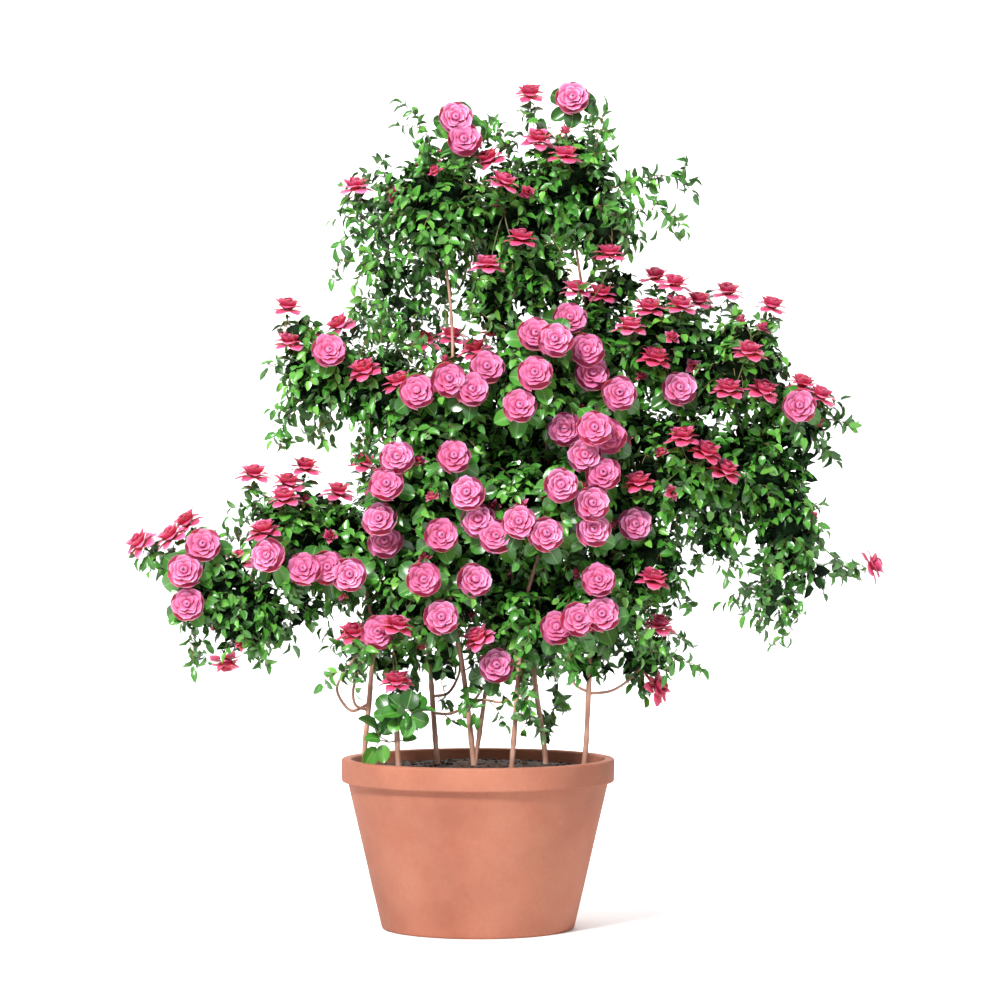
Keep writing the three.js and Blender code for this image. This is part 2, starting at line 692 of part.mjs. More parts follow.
// The facet of its lump that each truss stands on: the free one nearest to the middle of its roses.
const seats = {};
for (const [name, { lump: [node, index] }] of Object.entries(TRUSSES)) {
  const lump = lumps[node][index];
  const own = blooms.filter((b) => b.truss === name);
  const middle = new THREE.Vector3();
  for (const b of own) middle.addScaledVector(b.centre, 1 / own.length);
  const taken = Object.values(seats).map((seat) => seat.centre);
  const free = facetsOf(lump).filter(
    ({ centre }) =>
      !allLumps.some((other) => other !== lump && reach(centre, other, 12) < 1) &&
      !caneBalls.some((ball) => ball.centre.distanceTo(centre) < ball.radius + 14) &&
      !taken.some((spot) => spot.distanceTo(centre) < 10),
  );
  free.sort((a, b) => a.centre.distanceTo(middle) - b.centre.distanceTo(middle));
  seats[name] = { ...free[0], blooms: own };
}

// How far a point on a stalk is inside a core or a cane, with the way out, or null.
const STALK_LIFT = 8;
function deepest(spot, margin, caneMargin) {
  let worst = { depth: 0 };
  for (const lump of allLumps) {
    const depth = (1 - reach(spot, lump, margin)) * lump.half.z;
    if (depth > worst.depth) worst = { depth, out: outward(spot, lump) };
  }
  for (const ball of caneBalls) {
    const depth = ball.radius + caneMargin - spot.distanceTo(ball.centre);
    if (depth > worst.depth) worst = { depth, out: spot.clone().sub(ball.centre).normalize() };
  }
  return worst.depth > 0 ? worst : null;
}

// The path of a rose's stalk from its truss's seat, lifted clear of the cores and canes.
const HUB_HEIGHT = 18;
const BLOOM_BASE = -24;
function stalkPath({ centre: foot, normal }, { centre, axis }) {
  const start = foot.clone().addScaledVector(normal, HUB_HEIGHT - 4);
  const end = centre.clone().addScaledVector(axis, BLOOM_BASE);
  const straight = end.clone().sub(start).normalize();
  const middle = start.clone().lerp(end, 0.5);
  if (straight.dot(axis) < 0.35) middle.addScaledVector(axis, -12).addScaledVector(normal, 10);
  for (let tries = 0; tries < 20; tries++) {
    let worst = null;
    for (let k = 2; k <= 12; k++) {
      const t = k / 12;
      const spot = t < 0.5 ? start.clone().lerp(middle, 2 * t) : middle.clone().lerp(end, 2 * t - 1);
      const lift = t < 0.4 ? -0.1 * foot.distanceTo(spot) : STALK_LIFT;
      const found = deepest(spot, lift, PEDICEL_RADIUS + 3);
      if (found && (!worst || found.depth > worst.depth)) worst = found;
    }
    if (!worst && tries === 0 && straight.dot(axis) >= 0.35) return [start, end];
    if (!worst) break;
    middle.addScaledVector(worst.out, 7);
  }
  return [start, middle, end];
}

// A rose of five pointed outer petals round a cup of five inner ones, in one piece with its stalk.
const PETALS = 5;
function roseOnStalk(path, { axis, spin }) {
  const side = new THREE.Vector3(Math.cos(spin), 0.4, Math.sin(spin));
  const frames = framesAlong(path, side, axis);
  const head = frames[frames.length - 1];
  const corners = [
    ...frames.flatMap((frame) => ring(frame, 3, PEDICEL_RADIUS)),
    ...ring(head, PETALS, BLOOM_RADIUS, 10),
    ...ring(head, PETALS, BLOOM_RADIUS * 0.56, 17, 0.5),
    ...ring(head, PETALS, BLOOM_RADIUS * 0.72, 40, 0.5),
    head.point.clone().addScaledVector(axis, 46),
  ];
  const stalk = frames.map((_, k) => numbers(3 * k, 3));
  const first = 3 * frames.length;
  const [tips, notches, rim] = [0, 1, 2].map((k) => numbers(first + k * PETALS, PETALS));
  const top = first + 3 * PETALS;
  const star = tips.flatMap((tip, k) => [tip, notches[k]]);
  const triangles = [[0, 2, 1]];
  for (let k = 1; k < stalk.length; k++) triangles.push(...bridge(stalk[k - 1], stalk[k]));
  triangles.push(...bridge(stalk[stalk.length - 1], star));
  triangles.push(...tips.map((tip, k) => [tip, notches[k], notches[(k + PETALS - 1) % PETALS]]));
  triangles.push(...bridge(notches, rim));
  triangles.push(...rim.map((corner, k) => [corner, rim[(k + 1) % PETALS], top]));
  return solidFrom(corners, triangles);
}

function truss({ centre, normal, blooms: own, lump }, paths) {
  const foot = centre.clone().addScaledVector(normal, CLEAR);
  const hub = tube([foot, centre.clone().addScaledVector(normal, HUB_HEIGHT)], 7, 6, 3);
  return join([hub, ...own.map((b, k) => roseOnStalk(paths[k], b))]);
}

const LEAF_BALL = 13;
function leafFits(spots, radius, node) {
  const touches = (ball) => spots.some((spot) => spot.distanceTo(ball.centre) < radius + ball.radius);
  const hitsBall = balls.some((ball) => ball.node !== node && touches(ball));
  const others = Object.keys(lumps).filter((name) => name !== node).flatMap((name) => lumps[name]);
  return !hitsBall && !others.some((lump) => spots.some((spot) => reach(spot, lump, radius - 6) < 1));
}

// Whether a shoot's stem would touch a cane, stalk, rose or core that isn't its own.
function pathBlocked(path, node) {
  const others = Object.keys(lumps).filter((name) => name !== node).flatMap((name) => lumps[name]);
  for (let k = 1; k < path.length; k++) {
    for (let j = 0; j <= 8; j++) {
      const spot = path[k - 1].clone().lerp(path[k], j / 8);
      const touches = (ball) => ball.node !== node && spot.distanceTo(ball.centre) < ball.radius + 3;
      if (balls.some(touches) || others.some((lump) => reach(spot, lump, 3) < 1)) return true;
    }
  }
  return false;
}

// The outline of a leaf that grows from one step of a shoot, as [along, outward] shares of its length.
const LEAF_BELLY = [0.22, 0.46];
const LEAF_TIP = [0.74, 0.7];

// Triangles of one side of a shoot's step, from corners i to j. A leaf's blade is raised from the whole
// side.
function sideOfStep([i, j, nextJ, nextI], blade) {
  if (!blade) return bridge([i, j], [nextI, nextJ]).slice(0, 2);
  const [belly, tip] = blade;
  const root = [[i, j, belly], [j, tip, belly], [i, belly, tip]];
  return [...root, [j, nextJ, tip], [nextJ, nextI, tip], [nextI, i, tip]];
}

// A leafy shoot from the nearest facet: a thin stem of three sides with leaves on alternate sides and a
// last leaf at its tip.
const LEAF_STEP = 45;
const SWING = 2.4; // how far a shoot swings to the front or back, times its listed depth
function spray(points, node, scale, random) {
  const home = lumps[node][0].centre.y;
  const bends = points.map(([px, py, depth]) => place(px, py, home + SWING * (depth - home)));
  const byDistance = (a, b) => a.centre.distanceTo(bends[0]) - b.centre.distanceTo(bends[0]);
  const taken = Object.values(seats).map((seat) => seat.centre);
  const isFree = (facet) => !taken.some((seat) => seat.distanceTo(facet.centre) < 10);
  const [{ centre, normal }] = lumps[node].flatMap(facetsOf).filter(isFree).sort(byDistance);
  const turns = [centre.clone().addScaledVector(normal, -4), ...bends];
  for (let tries = 1; tries < 16 && pathBlocked(turns, node); tries++) {
    for (const bend of bends) bend.y += (tries % 2 ? 9 : -9) * tries;
  }
  const path = [turns[0]];
  for (let k = 1; k < turns.length; k++) {
    const count = Math.max(1, Math.round(turns[k].distanceTo(turns[k - 1]) / (LEAF_STEP * scale)));
    for (let j = 1; j <= count; j++) path.push(turns[k - 1].clone().lerp(turns[k], j / count));
  }
  const towards = new THREE.Vector3(0.2, -1, 0.3);
  const side = new THREE.Vector3().crossVectors(path[1].clone().sub(path[0]), towards);
  const frames = framesAlong(path, side);
  const corners = frames.flatMap((frame, k) => ring(frame, 3, 2.6 - k / path.length, 0, -0.25));
  const triangles = [[0, 2, 1]];
  const last = frames.length - 1;
  const end = frames[last];
  for (let k = 0; k < last; k++) {
    const hand = k % 2 ? 1 : -1;
    const length = LEAF_LENGTH * scale * (0.85 + 0.3 * random());
    const rise = 14 * (random() - 0.5);
    const at = ([forward, out], lift) =>
      frames[k].point
        .clone()
        .addScaledVector(frames[k].along, forward * length)
        .addScaledVector(frames[k].across, hand * out * length)
        .addScaledVector(frames[k].other, lift);
    const [belly, tip] = [at(LEAF_BELLY, 0), at(LEAF_TIP, rise)];
    const spots = [0.2, 0.5, 0.8].map((t) => frames[k].point.clone().lerp(tip, t));
    const radius = LEAF_BALL * scale;
    const grows = k > 0 && leafFits(spots, radius, node);
    const blade = grows ? [corners.length, corners.length + 1] : null;
    if (grows) corners.push(belly, tip);
    const leafBalls = spots.slice(1).map((spot) => ({ centre: spot, radius: radius * 0.7, node }));
    if (grows) balls.push(...leafBalls);
    for (let j = 0; j < 3; j++) {
      const next = (j + 1) % 3;
      const quad = [3 * k + j, 3 * k + next, 3 * k + 3 + next, 3 * k + 3 + j];
      triangles.push(...sideOfStep(quad, j === (hand > 0 ? 0 : 1) ? blade : null));
    }
  }
  const wide = corners.length;
  const half = 0.5 * LEAF_WIDTH * scale;
  const ahead = end.point.clone().addScaledVector(end.along, 0.4 * LEAF_LENGTH * scale);
  corners.push(ahead.clone().addScaledVector(end.across, half));
  corners.push(ahead.clone().addScaledVector(end.other, 2.4));
  corners.push(ahead.clone().addScaledVector(end.across, -half));
  corners.push(end.point.clone().addScaledVector(end.along, 0.9 * LEAF_LENGTH * scale));
  const rim = numbers(wide, 3);
  triangles.push(...bridge(numbers(3 * last, 3), rim));
  triangles.push(...rim.map((corner, k) => [corner, rim[(k + 1) % 3], wide + 3]));
  return solidFrom(corners, triangles);
}

const materialOf = Object.fromEntries(
  Object.entries(COLOURS).map(([name, color]) => [
    name,
    new THREE.MeshStandardMaterial({ color, roughness: name === "leaf" ? 0.45 : 0.8, metalness: 0 }),
  ]),
);

const rose = new THREE.Group();
function show(name, solid, material) {
  const mesh = solid.getMesh();
  const geometry = new THREE.BufferGeometry();
  geometry.setAttribute("position", new THREE.BufferAttribute(mesh.vertProperties, 3));
  geometry.setIndex(new THREE.BufferAttribute(mesh.triVerts, 1));
  const shown = new THREE.Mesh(geometry, materialOf[material]);
  shown.name = name;
  rose.add(shown);
}

show("pot", pot(), "clay");
show("soil", soil().subtract(join(Object.values(CANES).map((spec) => cane(spec, CLEAR)))), "soil");
for (const [name, spec] of Object.entries(CANES)) show(name, cane(spec), "bark");

const trussSolids = {};
for (const [name, seat] of Object.entries(seats)) {
  const paths = seat.blooms.map((b) => stalkPath(seat, b));
  trussSolids[name] = truss(seat, paths);
  show("truss_" + name, trussSolids[name], "petal");
  balls.push({ centre: seat.centre, radius: 12, node: "truss" });
  for (const b of seat.blooms) balls.push({ centre: b.centre, radius: BLOOM_RADIUS, node: "truss" });
  for (const path of paths) addBalls(path, PEDICEL_RADIUS + 1, "truss");
}

// Each core keeps the leaf tips that are clear of the trusses, a little grown for the test.
const trusses = join(Object.values(trussSolids));
const TIP_BALL = 12;
const SPIKE = [[0, 2, 1], [0, 1, 3], [1, 2, 3], [2, 0, 3]];
for (const [name, list] of Object.entries(lumps)) {
  for (const lump of list) {
    lump.tips = coreFacets(lump).map(({ corners, middle, tip, plain }) => {
      if (plain) return false;
      const low = middle.clone().lerp(tip, -0.1);
      const spots = [...corners, middle.clone().lerp(tip, 1.2)];
      const grown = spots.map((spot) => spot.clone().sub(low).multiplyScalar(1.06).add(low));
      return solidFrom(grown, SPIKE).intersect(trusses).isEmpty();
    });
    coreFacets(lump).forEach(({ middle, tip }, k) => {
      if (!lump.tips[k]) return;
      balls.push({ centre: middle.clone().lerp(tip, 0.7), radius: TIP_BALL, node: name });
    });
  }
}

// Holes just clear of the canes, which run through the cores.
const bores = join(Object.values(CANES).map((spec) => cane(spec, CLEAR, 4)));
const made = [];
for (const [index, [name, { sprays, size = 1 }]] of Object.entries(FOLIAGE).entries()) {
  const random = draws(1000 + 37 * index);
  const middles = lumps[name].map((lump) => lump.centre);
  const links = middles.slice(1).map((centre, k) => tube([middles[k], centre], 9, 9, 4));
  let heart = join([...lumps[name].map((lump) => core(lump)), ...links]).subtract(bores);
  for (const other of made) heart = heart.subtract(core(other, CLEAR));
  made.push(...lumps[name]);
  const shoots = sprays.map((points) => spray(points, name, size, random));
  show("foliage_" + name, mainBody(join([mainBody(heart), ...shoots])), "leaf");
}

export default rose;
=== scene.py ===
"""Looks of a potted climbing rose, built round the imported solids.

Lengths are millimetres until a mesh is made."""

import math

import bpy
import numpy as np
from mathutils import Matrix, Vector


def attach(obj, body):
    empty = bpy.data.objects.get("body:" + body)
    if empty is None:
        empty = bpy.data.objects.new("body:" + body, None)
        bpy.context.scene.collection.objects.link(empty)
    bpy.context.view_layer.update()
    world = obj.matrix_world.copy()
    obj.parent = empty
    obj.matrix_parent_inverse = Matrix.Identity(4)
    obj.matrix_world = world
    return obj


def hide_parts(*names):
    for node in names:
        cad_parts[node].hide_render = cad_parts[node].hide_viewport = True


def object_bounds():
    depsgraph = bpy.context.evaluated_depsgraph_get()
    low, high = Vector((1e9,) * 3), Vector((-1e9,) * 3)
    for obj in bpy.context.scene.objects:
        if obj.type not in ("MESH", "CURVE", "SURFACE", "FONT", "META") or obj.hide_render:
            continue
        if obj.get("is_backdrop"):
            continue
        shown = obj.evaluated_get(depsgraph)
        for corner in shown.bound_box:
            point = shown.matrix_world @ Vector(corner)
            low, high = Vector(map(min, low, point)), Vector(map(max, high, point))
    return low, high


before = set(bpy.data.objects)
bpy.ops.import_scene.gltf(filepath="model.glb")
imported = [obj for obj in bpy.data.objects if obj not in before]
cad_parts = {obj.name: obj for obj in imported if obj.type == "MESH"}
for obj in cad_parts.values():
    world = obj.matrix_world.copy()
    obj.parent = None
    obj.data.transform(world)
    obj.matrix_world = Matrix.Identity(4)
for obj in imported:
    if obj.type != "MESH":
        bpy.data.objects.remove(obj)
cad_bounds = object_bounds()

METRES_PER_MM = 0.001
MM_PER_METRE = 1000
TURN = 2 * math.pi
UP = np.array([0.0, 0.0, 1.0])
random = np.random.default_rng(11)

# The layout, as in the solids
BLOOM_RADIUS = 44
MM_PER_PIXEL = 2.6
AXIS_PX = 478
GROUND_PX = 933
UNDER_GROUND_PX = 10
POT_HEIGHT = 440
POT_FOOT_RADIUS = 250
POT_RIM_RADIUS = 355
RIM_BAND = 60
WALL = 18
SOIL_BELOW_RIM = 32
ROOT_DEPTH = 120
CANE_RADIUS = 7.8
CANE_TIP_RADIUS = 3.2
TWIG_RADIUS = 3
ROOT_LEAN = 0.84
CORE_SHARE = 0.86
SWING = 2.4
FACING_MARGIN = 34
SIDE_MARGIN = 12
SAME_TRUSS_GAP = 62
OTHER_TRUSS_GAP = 86
CANE_GAP = BLOOM_RADIUS + 12
CANE_POINT_GAP = 4
BLOOM_BASE = -24
START_DEPTH = 30
BEHIND_DEPTH = 25
MOST_STEPS = 60
LONGEST_STEP = 12

# Each lump is a pixel, a depth, half a width and half a height in pixels, and half a depth. Each spray is the
# path of a leafy shoot, as pixels and depths.
FOLIAGE = {
  "top_left": {
    "lumps": [[440, 384, -20, 56, 60, 140]],
    "sprays": [
      [[424, 318, -30], [418, 292, -30]],
      [[390, 362, 0], [376, 338, 10]],
      [[384, 408, 0], [352, 386, -10]],
      [[392, 430, -40], [362, 440, -50], [340, 436, -40]],
      [[410, 452, 30], [386, 470, 30], [362, 472, 20]],
      [[388, 384, 20], [366, 374, 10], [344, 382, 0]],
      [[452, 446, 10], [444, 478, 20], [450, 512, 10]],
      [[470, 440, -30], [474, 472, -40], [466, 500, -50]],
      [[424, 444, 30], [420, 480, 40], [412, 510, 40]],
      [[488, 440, 20], [492, 474, 30], [486, 506, 40]],
      [[394, 398, -20], [372, 404, -30], [350, 414, -40]],
      [[474, 334, 0], [484, 314, 0], [488, 298, 0]],
    ],
  },
  "top_right": {
    "lumps": [
      [518, 398, 40, 42, 64, 120],
      [572, 362, 0, 44, 58, 110],
      [602, 400, 20, 33, 33, 85],
      [540, 454, 20, 30, 34, 90],
    ],
    "sprays": [
      [[594, 330, -10], [604, 288, -10]],
      [[508, 330, 20], [498, 300, 20]],
      [[616, 364, 0], [655, 352, 10], [692, 356, 20]],
      [[614, 396, -30], [645, 390, -40], [674, 396, -50]],
      [[600, 404, 40], [628, 416, 50], [650, 412, 60]],
      [[530, 440, 40], [540, 486, 30]],
      [[512, 444, 10], [510, 486, 0]],
      [[552, 412, 0], [572, 450, -10]],
      [[548, 326, 30], [542, 308, 40], [538, 298, 44]],
    ],
  },
  "left": {
    "lumps": [[322, 549, 10, 40, 38, 105], [380, 567, 0, 42, 40, 105]],
    "sprays": [
      [[300, 582, 0], [284, 600, -10], [274, 616, -20]],
      [[330, 586, 20], [318, 602, 10], [302, 618, 0]],
      [[372, 600, -10], [370, 616, -30], [366, 630, -40]],
      [[350, 535, 30], [352, 500, 40], [360, 470, 40]],
      [[382, 550, 10], [388, 516, 0], [380, 480, -10]],
      [[300, 534, 30], [284, 540, 40], [272, 536, 40]],
      [[400, 540, 20], [408, 504, 20], [416, 468, 10]],
      [[362, 530, -20], [374, 506, -30], [394, 494, -30]],
    ],
  },
  "centre_upper": {
    "lumps": [[446, 588, -20, 64, 52, 185], [428, 667, -10, 61, 56, 190]],
    "sprays": [
      [[448, 545, 60], [440, 512, 60], [436, 478, 50]],
      [[424, 552, -60], [408, 530, -60], [402, 500, -60]],
      [[378, 680, 40], [368, 664, 50], [352, 660, 50]],
    ],
  },
  "centre_right": {
    "lumps": [[534, 562, -30, 48, 58, 185], [609, 602, 20, 44, 58, 165], [592, 522, 10, 36, 42, 130]],
    "sprays": [[[606, 548, 60], [606, 510, 70], [598, 492, 70]]],
  },
  "centre": { "lumps": [[546, 680, -20, 78, 66, 205]], "sprays": [] },
  "low_left": {
    "lumps": [[425, 767, 0, 64, 60, 185]],
    "sprays": [
      [[376, 796, 30], [352, 818, 40], [328, 824, 40]],
      [[390, 802, 40], [366, 832, 50], [346, 848, 50]],
      [[442, 812, 90], [446, 836, 95]],
      [[386, 820, -50], [360, 840, -55], [336, 846, -60]],
      [[412, 828, 30], [416, 852, 30], [408, 872, 30]],
      [[470, 820, -20], [474, 848, -20], [464, 874, -20]],
    ],
  },
  "low_middle": {
    "lumps": [[520, 794, 20, 46, 50, 175], [594, 772, -10, 52, 56, 155], [646, 738, 0, 38, 46, 110]],
    "sprays": [
      [[636, 758, 20], [664, 768, 30], [690, 778, 30]],
      [[624, 800, -30], [654, 822, -40], [690, 838, -50]],
      [[612, 812, 40], [632, 850, 60]],
      [[552, 834, 60], [556, 876, 70], [550, 914, 70]],
      [[575, 812, -60], [568, 846, -80]],
      [[520, 842, -40], [528, 872, -50], [524, 900, -50]],
      [[646, 786, 20], [664, 808, 20], [686, 816, 20]],
    ],
  },
  "right_upper": {
    "lumps": [[662, 522, 10, 47, 51, 135], [738, 541, -10, 46, 50, 135], [790, 592, 0, 36, 34, 105]],
    "sprays": [
      [[820, 592, 0], [848, 602, 0]],
      [[812, 614, 20], [838, 636, 30]],
      [[768, 510, 20], [776, 486, 20]],
      [[700, 492, 40], [708, 470, 50]],
    ],
  },
  "right_lower": {
    "lumps": [[678, 640, -20, 54, 64, 150], [750, 645, 10, 46, 59, 125], [785, 702, 0, 29, 52, 80]],
    "sprays": [
      [[788, 750, 0], [793, 780, -10], [790, 812, -10]],
      [[770, 745, 20], [763, 775, 30], [768, 806, 30]],
      [[806, 724, 16], [830, 750, 18], [852, 752, 16]],
      [[738, 694, -10], [732, 724, -20], [726, 752, -20]],
      [[804, 686, -20], [824, 706, -30]],
      [[700, 700, 10], [704, 724, 10], [697, 744, 0]],
      [[774, 748, -10], [754, 768, -20], [744, 790, -20]],
    ],
  },
  "left_arm": {
    "lumps": [[346, 727, 10, 40, 54, 125], [293, 720, 0, 46, 52, 130]],
    "sprays": [
      [[264, 696, 20], [252, 676, 10]],
      [[338, 752, 30], [326, 784, 50]],
      [[300, 744, -30], [292, 776, -40]],
      [[356, 776, 0], [360, 800, 0]],
    ],
  },
  "left_tip": {
    "lumps": [[211, 756, -10, 40, 43, 110], [250, 789, 10, 40, 37, 110]],
    "sprays": [
      [[176, 748, 0], [156, 738, 0], [136, 732, -10]],
      [[206, 784, -20], [192, 812, -30], [196, 832, -30]],
      [[252, 810, 0], [268, 838, -20]],
      [[270, 806, 20], [290, 822, 30]],
      [[226, 722, 30], [240, 700, 40]],
    ],
  },
  "base_shoot": { "lumps": [[398, 881, -147, 4.5, 4.5, 12]], "sprays": [] },
}

# A root is a pixel across and a depth. Stems and twigs are paths, as pixels and depths.
CANES = {
  "cane_1": {
    "root": [366, -70],
    "stems": [
      [[371, 863, -66], [373, 800, -30], [350, 728, 10], [298, 714, 0], [250, 726, -4], [214, 752, -8]],
      [[262, 722, -2], [252, 752, 6], [246, 780, 10]],
    ],
    "twigs": [
      [[369, 878, -68], [352, 884, -76], [339, 866, -84], [343, 850, -80], [360, 826, -60]],
      [[370, 884, -66], [357, 878, -96], [355, 862, -100], [360, 845, -92]],
    ],
  },
  "cane_2": { "root": [401, -150], "stems": [[[398, 884, -146]]], "twigs": [] },
  "cane_3": {
    "root": [437, 60],
    "stems": [
      [[429, 833, 62], [426, 762, 50], [404, 690, 90], [388, 628, 40], [362, 577, 6], [318, 552, 10]],
    ],
    "twigs": [
      [[433, 873, 61], [448, 869, 40], [458, 852, 20], [460, 838, 16]],
      [[433, 890, 60], [452, 889, 30], [474, 876, 20], [490, 850, 30]],
    ],
  },
  "cane_4": {
    "root": [474, -20],
    "stems": [
      [[463, 845, -30], [448, 760, -96], [436, 672, -60], [450, 590, -50], [452, 500, -30],
       [440, 395, -20]],
      [[474, 945, -20], [486, 861, 0], [492, 790, 100], [494, 680, 120], [500, 590, 60], [498, 480, 40],
       [512, 400, 40]],
    ],
    "twigs": [[[468, 881, -24], [482, 874, -50], [500, 876, -70], [508, 872, -74]]],
  },
  "cane_5": {
    "root": [511, -120],
    "stems": [[[518, 849, -116], [522, 788, -70], [548, 690, -60], [546, 620, -60], [546, 570, -40]]],
    "twigs": [[[514, 888, -118], [526, 886, -130], [536, 892, -140]]],
  },
  "cane_6": {
    "root": [546, 70],
    "stems": [
      [[534, 829, 74], [556, 740, 90], [584, 672, 60], [608, 608, 20], [594, 520, 10], [580, 450, 0],
       [570, 375, 0]],
      [[606, 590, 18], [636, 552, 30], [668, 530, 20], [704, 532, 0], [740, 546, -6], [770, 572, -4],
       [794, 598, 0]],
    ],
    "twigs": [[[538, 862, 73], [527, 876, 90], [520, 900, 110]]],
  },
  "cane_7": {
    "root": [583, -40],
    "stems": [
      [[589, 850, -44], [596, 774, -14], [630, 700, -30], [680, 640, -20], [720, 640, 0], [752, 654, 10],
       [782, 704, 0]],
    ],
    "twigs": [
      [[589, 867, -43], [574, 858, -60], [567, 840, -70]],
      [[588, 868, -42], [612, 865, -30], [634, 850, -20], [648, 832, -20]],
    ],
  },
}

# Roses in front and at the back are pixels. The others are seen from the side: each is a pixel, a depth and how
# many degrees it leans to the right and tips towards the viewer.
TRUSSES = {
  "top_left": { "lump": ["top_left", 0], "front": [[456, 295], [464, 317]] },
  "top_left_back": { "lump": ["top_left", 0], "back": [[430, 345], [456, 388]] },
  "left_wing": { "lump": ["top_left", 0], "other": [[355, 361, -10, -4, 10]] },
  "top_right": {
    "lump": ["top_right", 1],
    "front": [[572, 275]],
    "other": [[530, 267, 20, 0, 18], [538, 315, -40, 8, 25], [564, 335, -140, 4, 10]],
  },
  "top_mid": {
    "lump": ["top_right", 0],
    "other": [
      [488, 334, -20, -25, 15], [504, 360, -110, 20, 10], [521, 416, -110, 6, 10], [487, 441, -90, 3, 12],
    ],
  },
  "top_right_back": { "lump": ["top_right", 1], "back": [[556, 350], [582, 384]] },
  "left": {
    "lump": ["left", 0],
    "front": [[331, 528]],
    "other": [
      [287, 481, 20, 4, 8], [290, 516, -10, 2, 12], [338, 499, 30, -30, 15], [365, 545, 20, -20, 20],
    ],
  },
  "centre_1_top": {
    "lump": ["centre_upper", 0],
    "other": [
      [423, 514, 60, 4, 15], [452, 510, 10, 6, 10], [475, 524, -40, -8, 18], [400, 558, -120, -14, 12],
      [494, 502, 40, 4, 8],
    ],
  },
  "centre_1": { "lump": ["centre_upper", 0], "front": [[472, 568], [450, 558], [419, 569], [487, 545]] },
  "centre_2": {
    "lump": ["centre_right", 0],
    "front": [[534, 513], [569, 496], [554, 519], [585, 528], [590, 551], [534, 552], [519, 584]],
    "other": [[576, 465, -50, 2, 8], [600, 469, -40, 6, 10], [609, 429, -50, 2, 6]],
  },
  "centre_3": {
    "lump": ["centre_right", 1],
    "front": [[617, 571], [583, 632], [606, 613], [564, 606], [592, 605], [601, 650]],
  },
  "centre_4": { "lump": ["centre_upper", 1], "front": [[455, 633], [389, 660], [399, 634]] },
  "centre_4_side": {
    "lump": ["centre_upper", 1],
    "front": [[382, 694], [387, 716], [442, 710]],
    "other": [[364, 637, 30, 6, 12]],
  },
  "centre_5": {
    "lump": ["centre", 0],
    "front": [[479, 695], [468, 669], [496, 711], [519, 697], [545, 709]],
  },
  "centre_5_right": {
    "lump": ["centre", 0],
    "front": [[559, 661], [589, 679], [591, 704], [633, 699]],
  },
  "centre_6": { "lump": ["low_left", 0], "front": [[425, 753], [475, 754], [443, 790]] },
  "centre_6_low": {
    "lump": ["low_left", 0],
    "front": [[381, 805]],
    "other": [[355, 806, -20, -6, 15], [398, 853, -110, 0, 14], [399, 797, -60, 10, 10]],
  },
  "centre_7": { "lump": ["low_middle", 0], "front": [[496, 839]], "other": [[478, 810, -120, -30, 20]] },
  "centre_8": { "lump": ["low_middle", 1], "front": [[596, 754], [577, 792], [556, 801], [600, 787]] },
  "low_right": {
    "lump": ["low_middle", 1],
    "other": [[659, 799, -20, 6, 14], [658, 862, -30, 62, 20], [651, 752, 10, 10, 14]],
  },
  "right_1": {
    "lump": ["right_upper", 0],
    "other": [
      [656, 450, 30, 2, 8], [674, 459, -50, 8, 10], [647, 484, -60, 2, 10], [679, 482, -110, 4, 10],
      [699, 475, 10, 6, 10], [628, 503, -130, 2, 12],
    ],
  },
  "right_1_front": { "lump": ["right_upper", 0], "front": [[677, 565]], "other": [[653, 534, -110, 10, 14]] },
  "right_2": {
    "lump": ["right_upper", 1],
    "other": [
      [729, 465, 20, 4, 10], [772, 480, 0, 12, 10], [745, 528, -120, 8, 14], [760, 566, -110, 18, 16],
      [725, 565, -120, 4, 14],
    ],
  },
  "right_tip": {
    "lump": ["right_upper", 2],
    "front": [[795, 583]],
    "other": [[801, 559, 12, 8, 10], [818, 571, -12, 18, 8]],
  },
  "right_3": {
    "lump": ["right_lower", 0],
    "other": [
      [679, 612, -110, 0, 12], [703, 627, -130, 20, 16], [722, 645, -140, 20, 16],
      [637, 657, -100, -4, 14],
    ],
  },
  "right_end": { "lump": ["right_lower", 2], "other": [[874, 740, 0, 66, 8]] },
  "left_arm_top": {
    "lump": ["left_arm", 1],
    "other": [
      [254, 648, 0, 2, 10], [305, 641, 10, 4, 8], [290, 657, -60, 0, 10], [287, 672, -110, -4, 12],
      [338, 666, 0, 4, 10], [267, 704, -140, -12, 14],
    ],
  },
  "left_arm": { "lump": ["left_arm", 0], "front": [[330, 742], [308, 743], [352, 749], [273, 730]] },
  "left_tip": {
    "lump": ["left_tip", 0],
    "front": [[207, 720], [190, 745], [192, 778]],
    "other": [
      [186, 696, 20, -32, 12], [139, 717, 0, -42, 20], [172, 710, -40, -34, 14], [238, 734, 20, 0, 12],
    ],
  },
  "left_tip_low": { "lump": ["left_tip", 1], "other": [[226, 838, -10, 170, 12]] },
  "centre_1_back": { "lump": ["centre_upper", 0], "back": [[430, 572], [472, 600], [440, 640]] },
  "centre_2_back": { "lump": ["centre_right", 0], "back": [[532, 540], [560, 580]] },
  "centre_5_back": { "lump": ["centre", 0], "back": [[510, 664], [560, 680], [530, 712]] },
  "centre_6_back": { "lump": ["low_left", 0], "back": [[405, 742], [440, 772]] },
  "right_1_back": { "lump": ["right_upper", 0], "back": [[668, 525]] },
  "right_2_back": { "lump": ["right_upper", 1], "back": [[740, 545]] },
  "left_arm_back": { "lump": ["left_arm", 1], "back": [[290, 705], [322, 722]] },
}


def unit(vectors):
    """Vectors of length one."""
    vectors = np.asarray(vectors, float)
    length = np.linalg.norm(vectors, axis=-1, keepdims=True)
    return vectors / np.maximum(length, 1e-9)


def scatter(index):
    """A number from 0 to 1 that depends on its index alone."""
    wave = math.sin(index * 12.9898) * 43758.5453
    return wave - math.floor(wave)


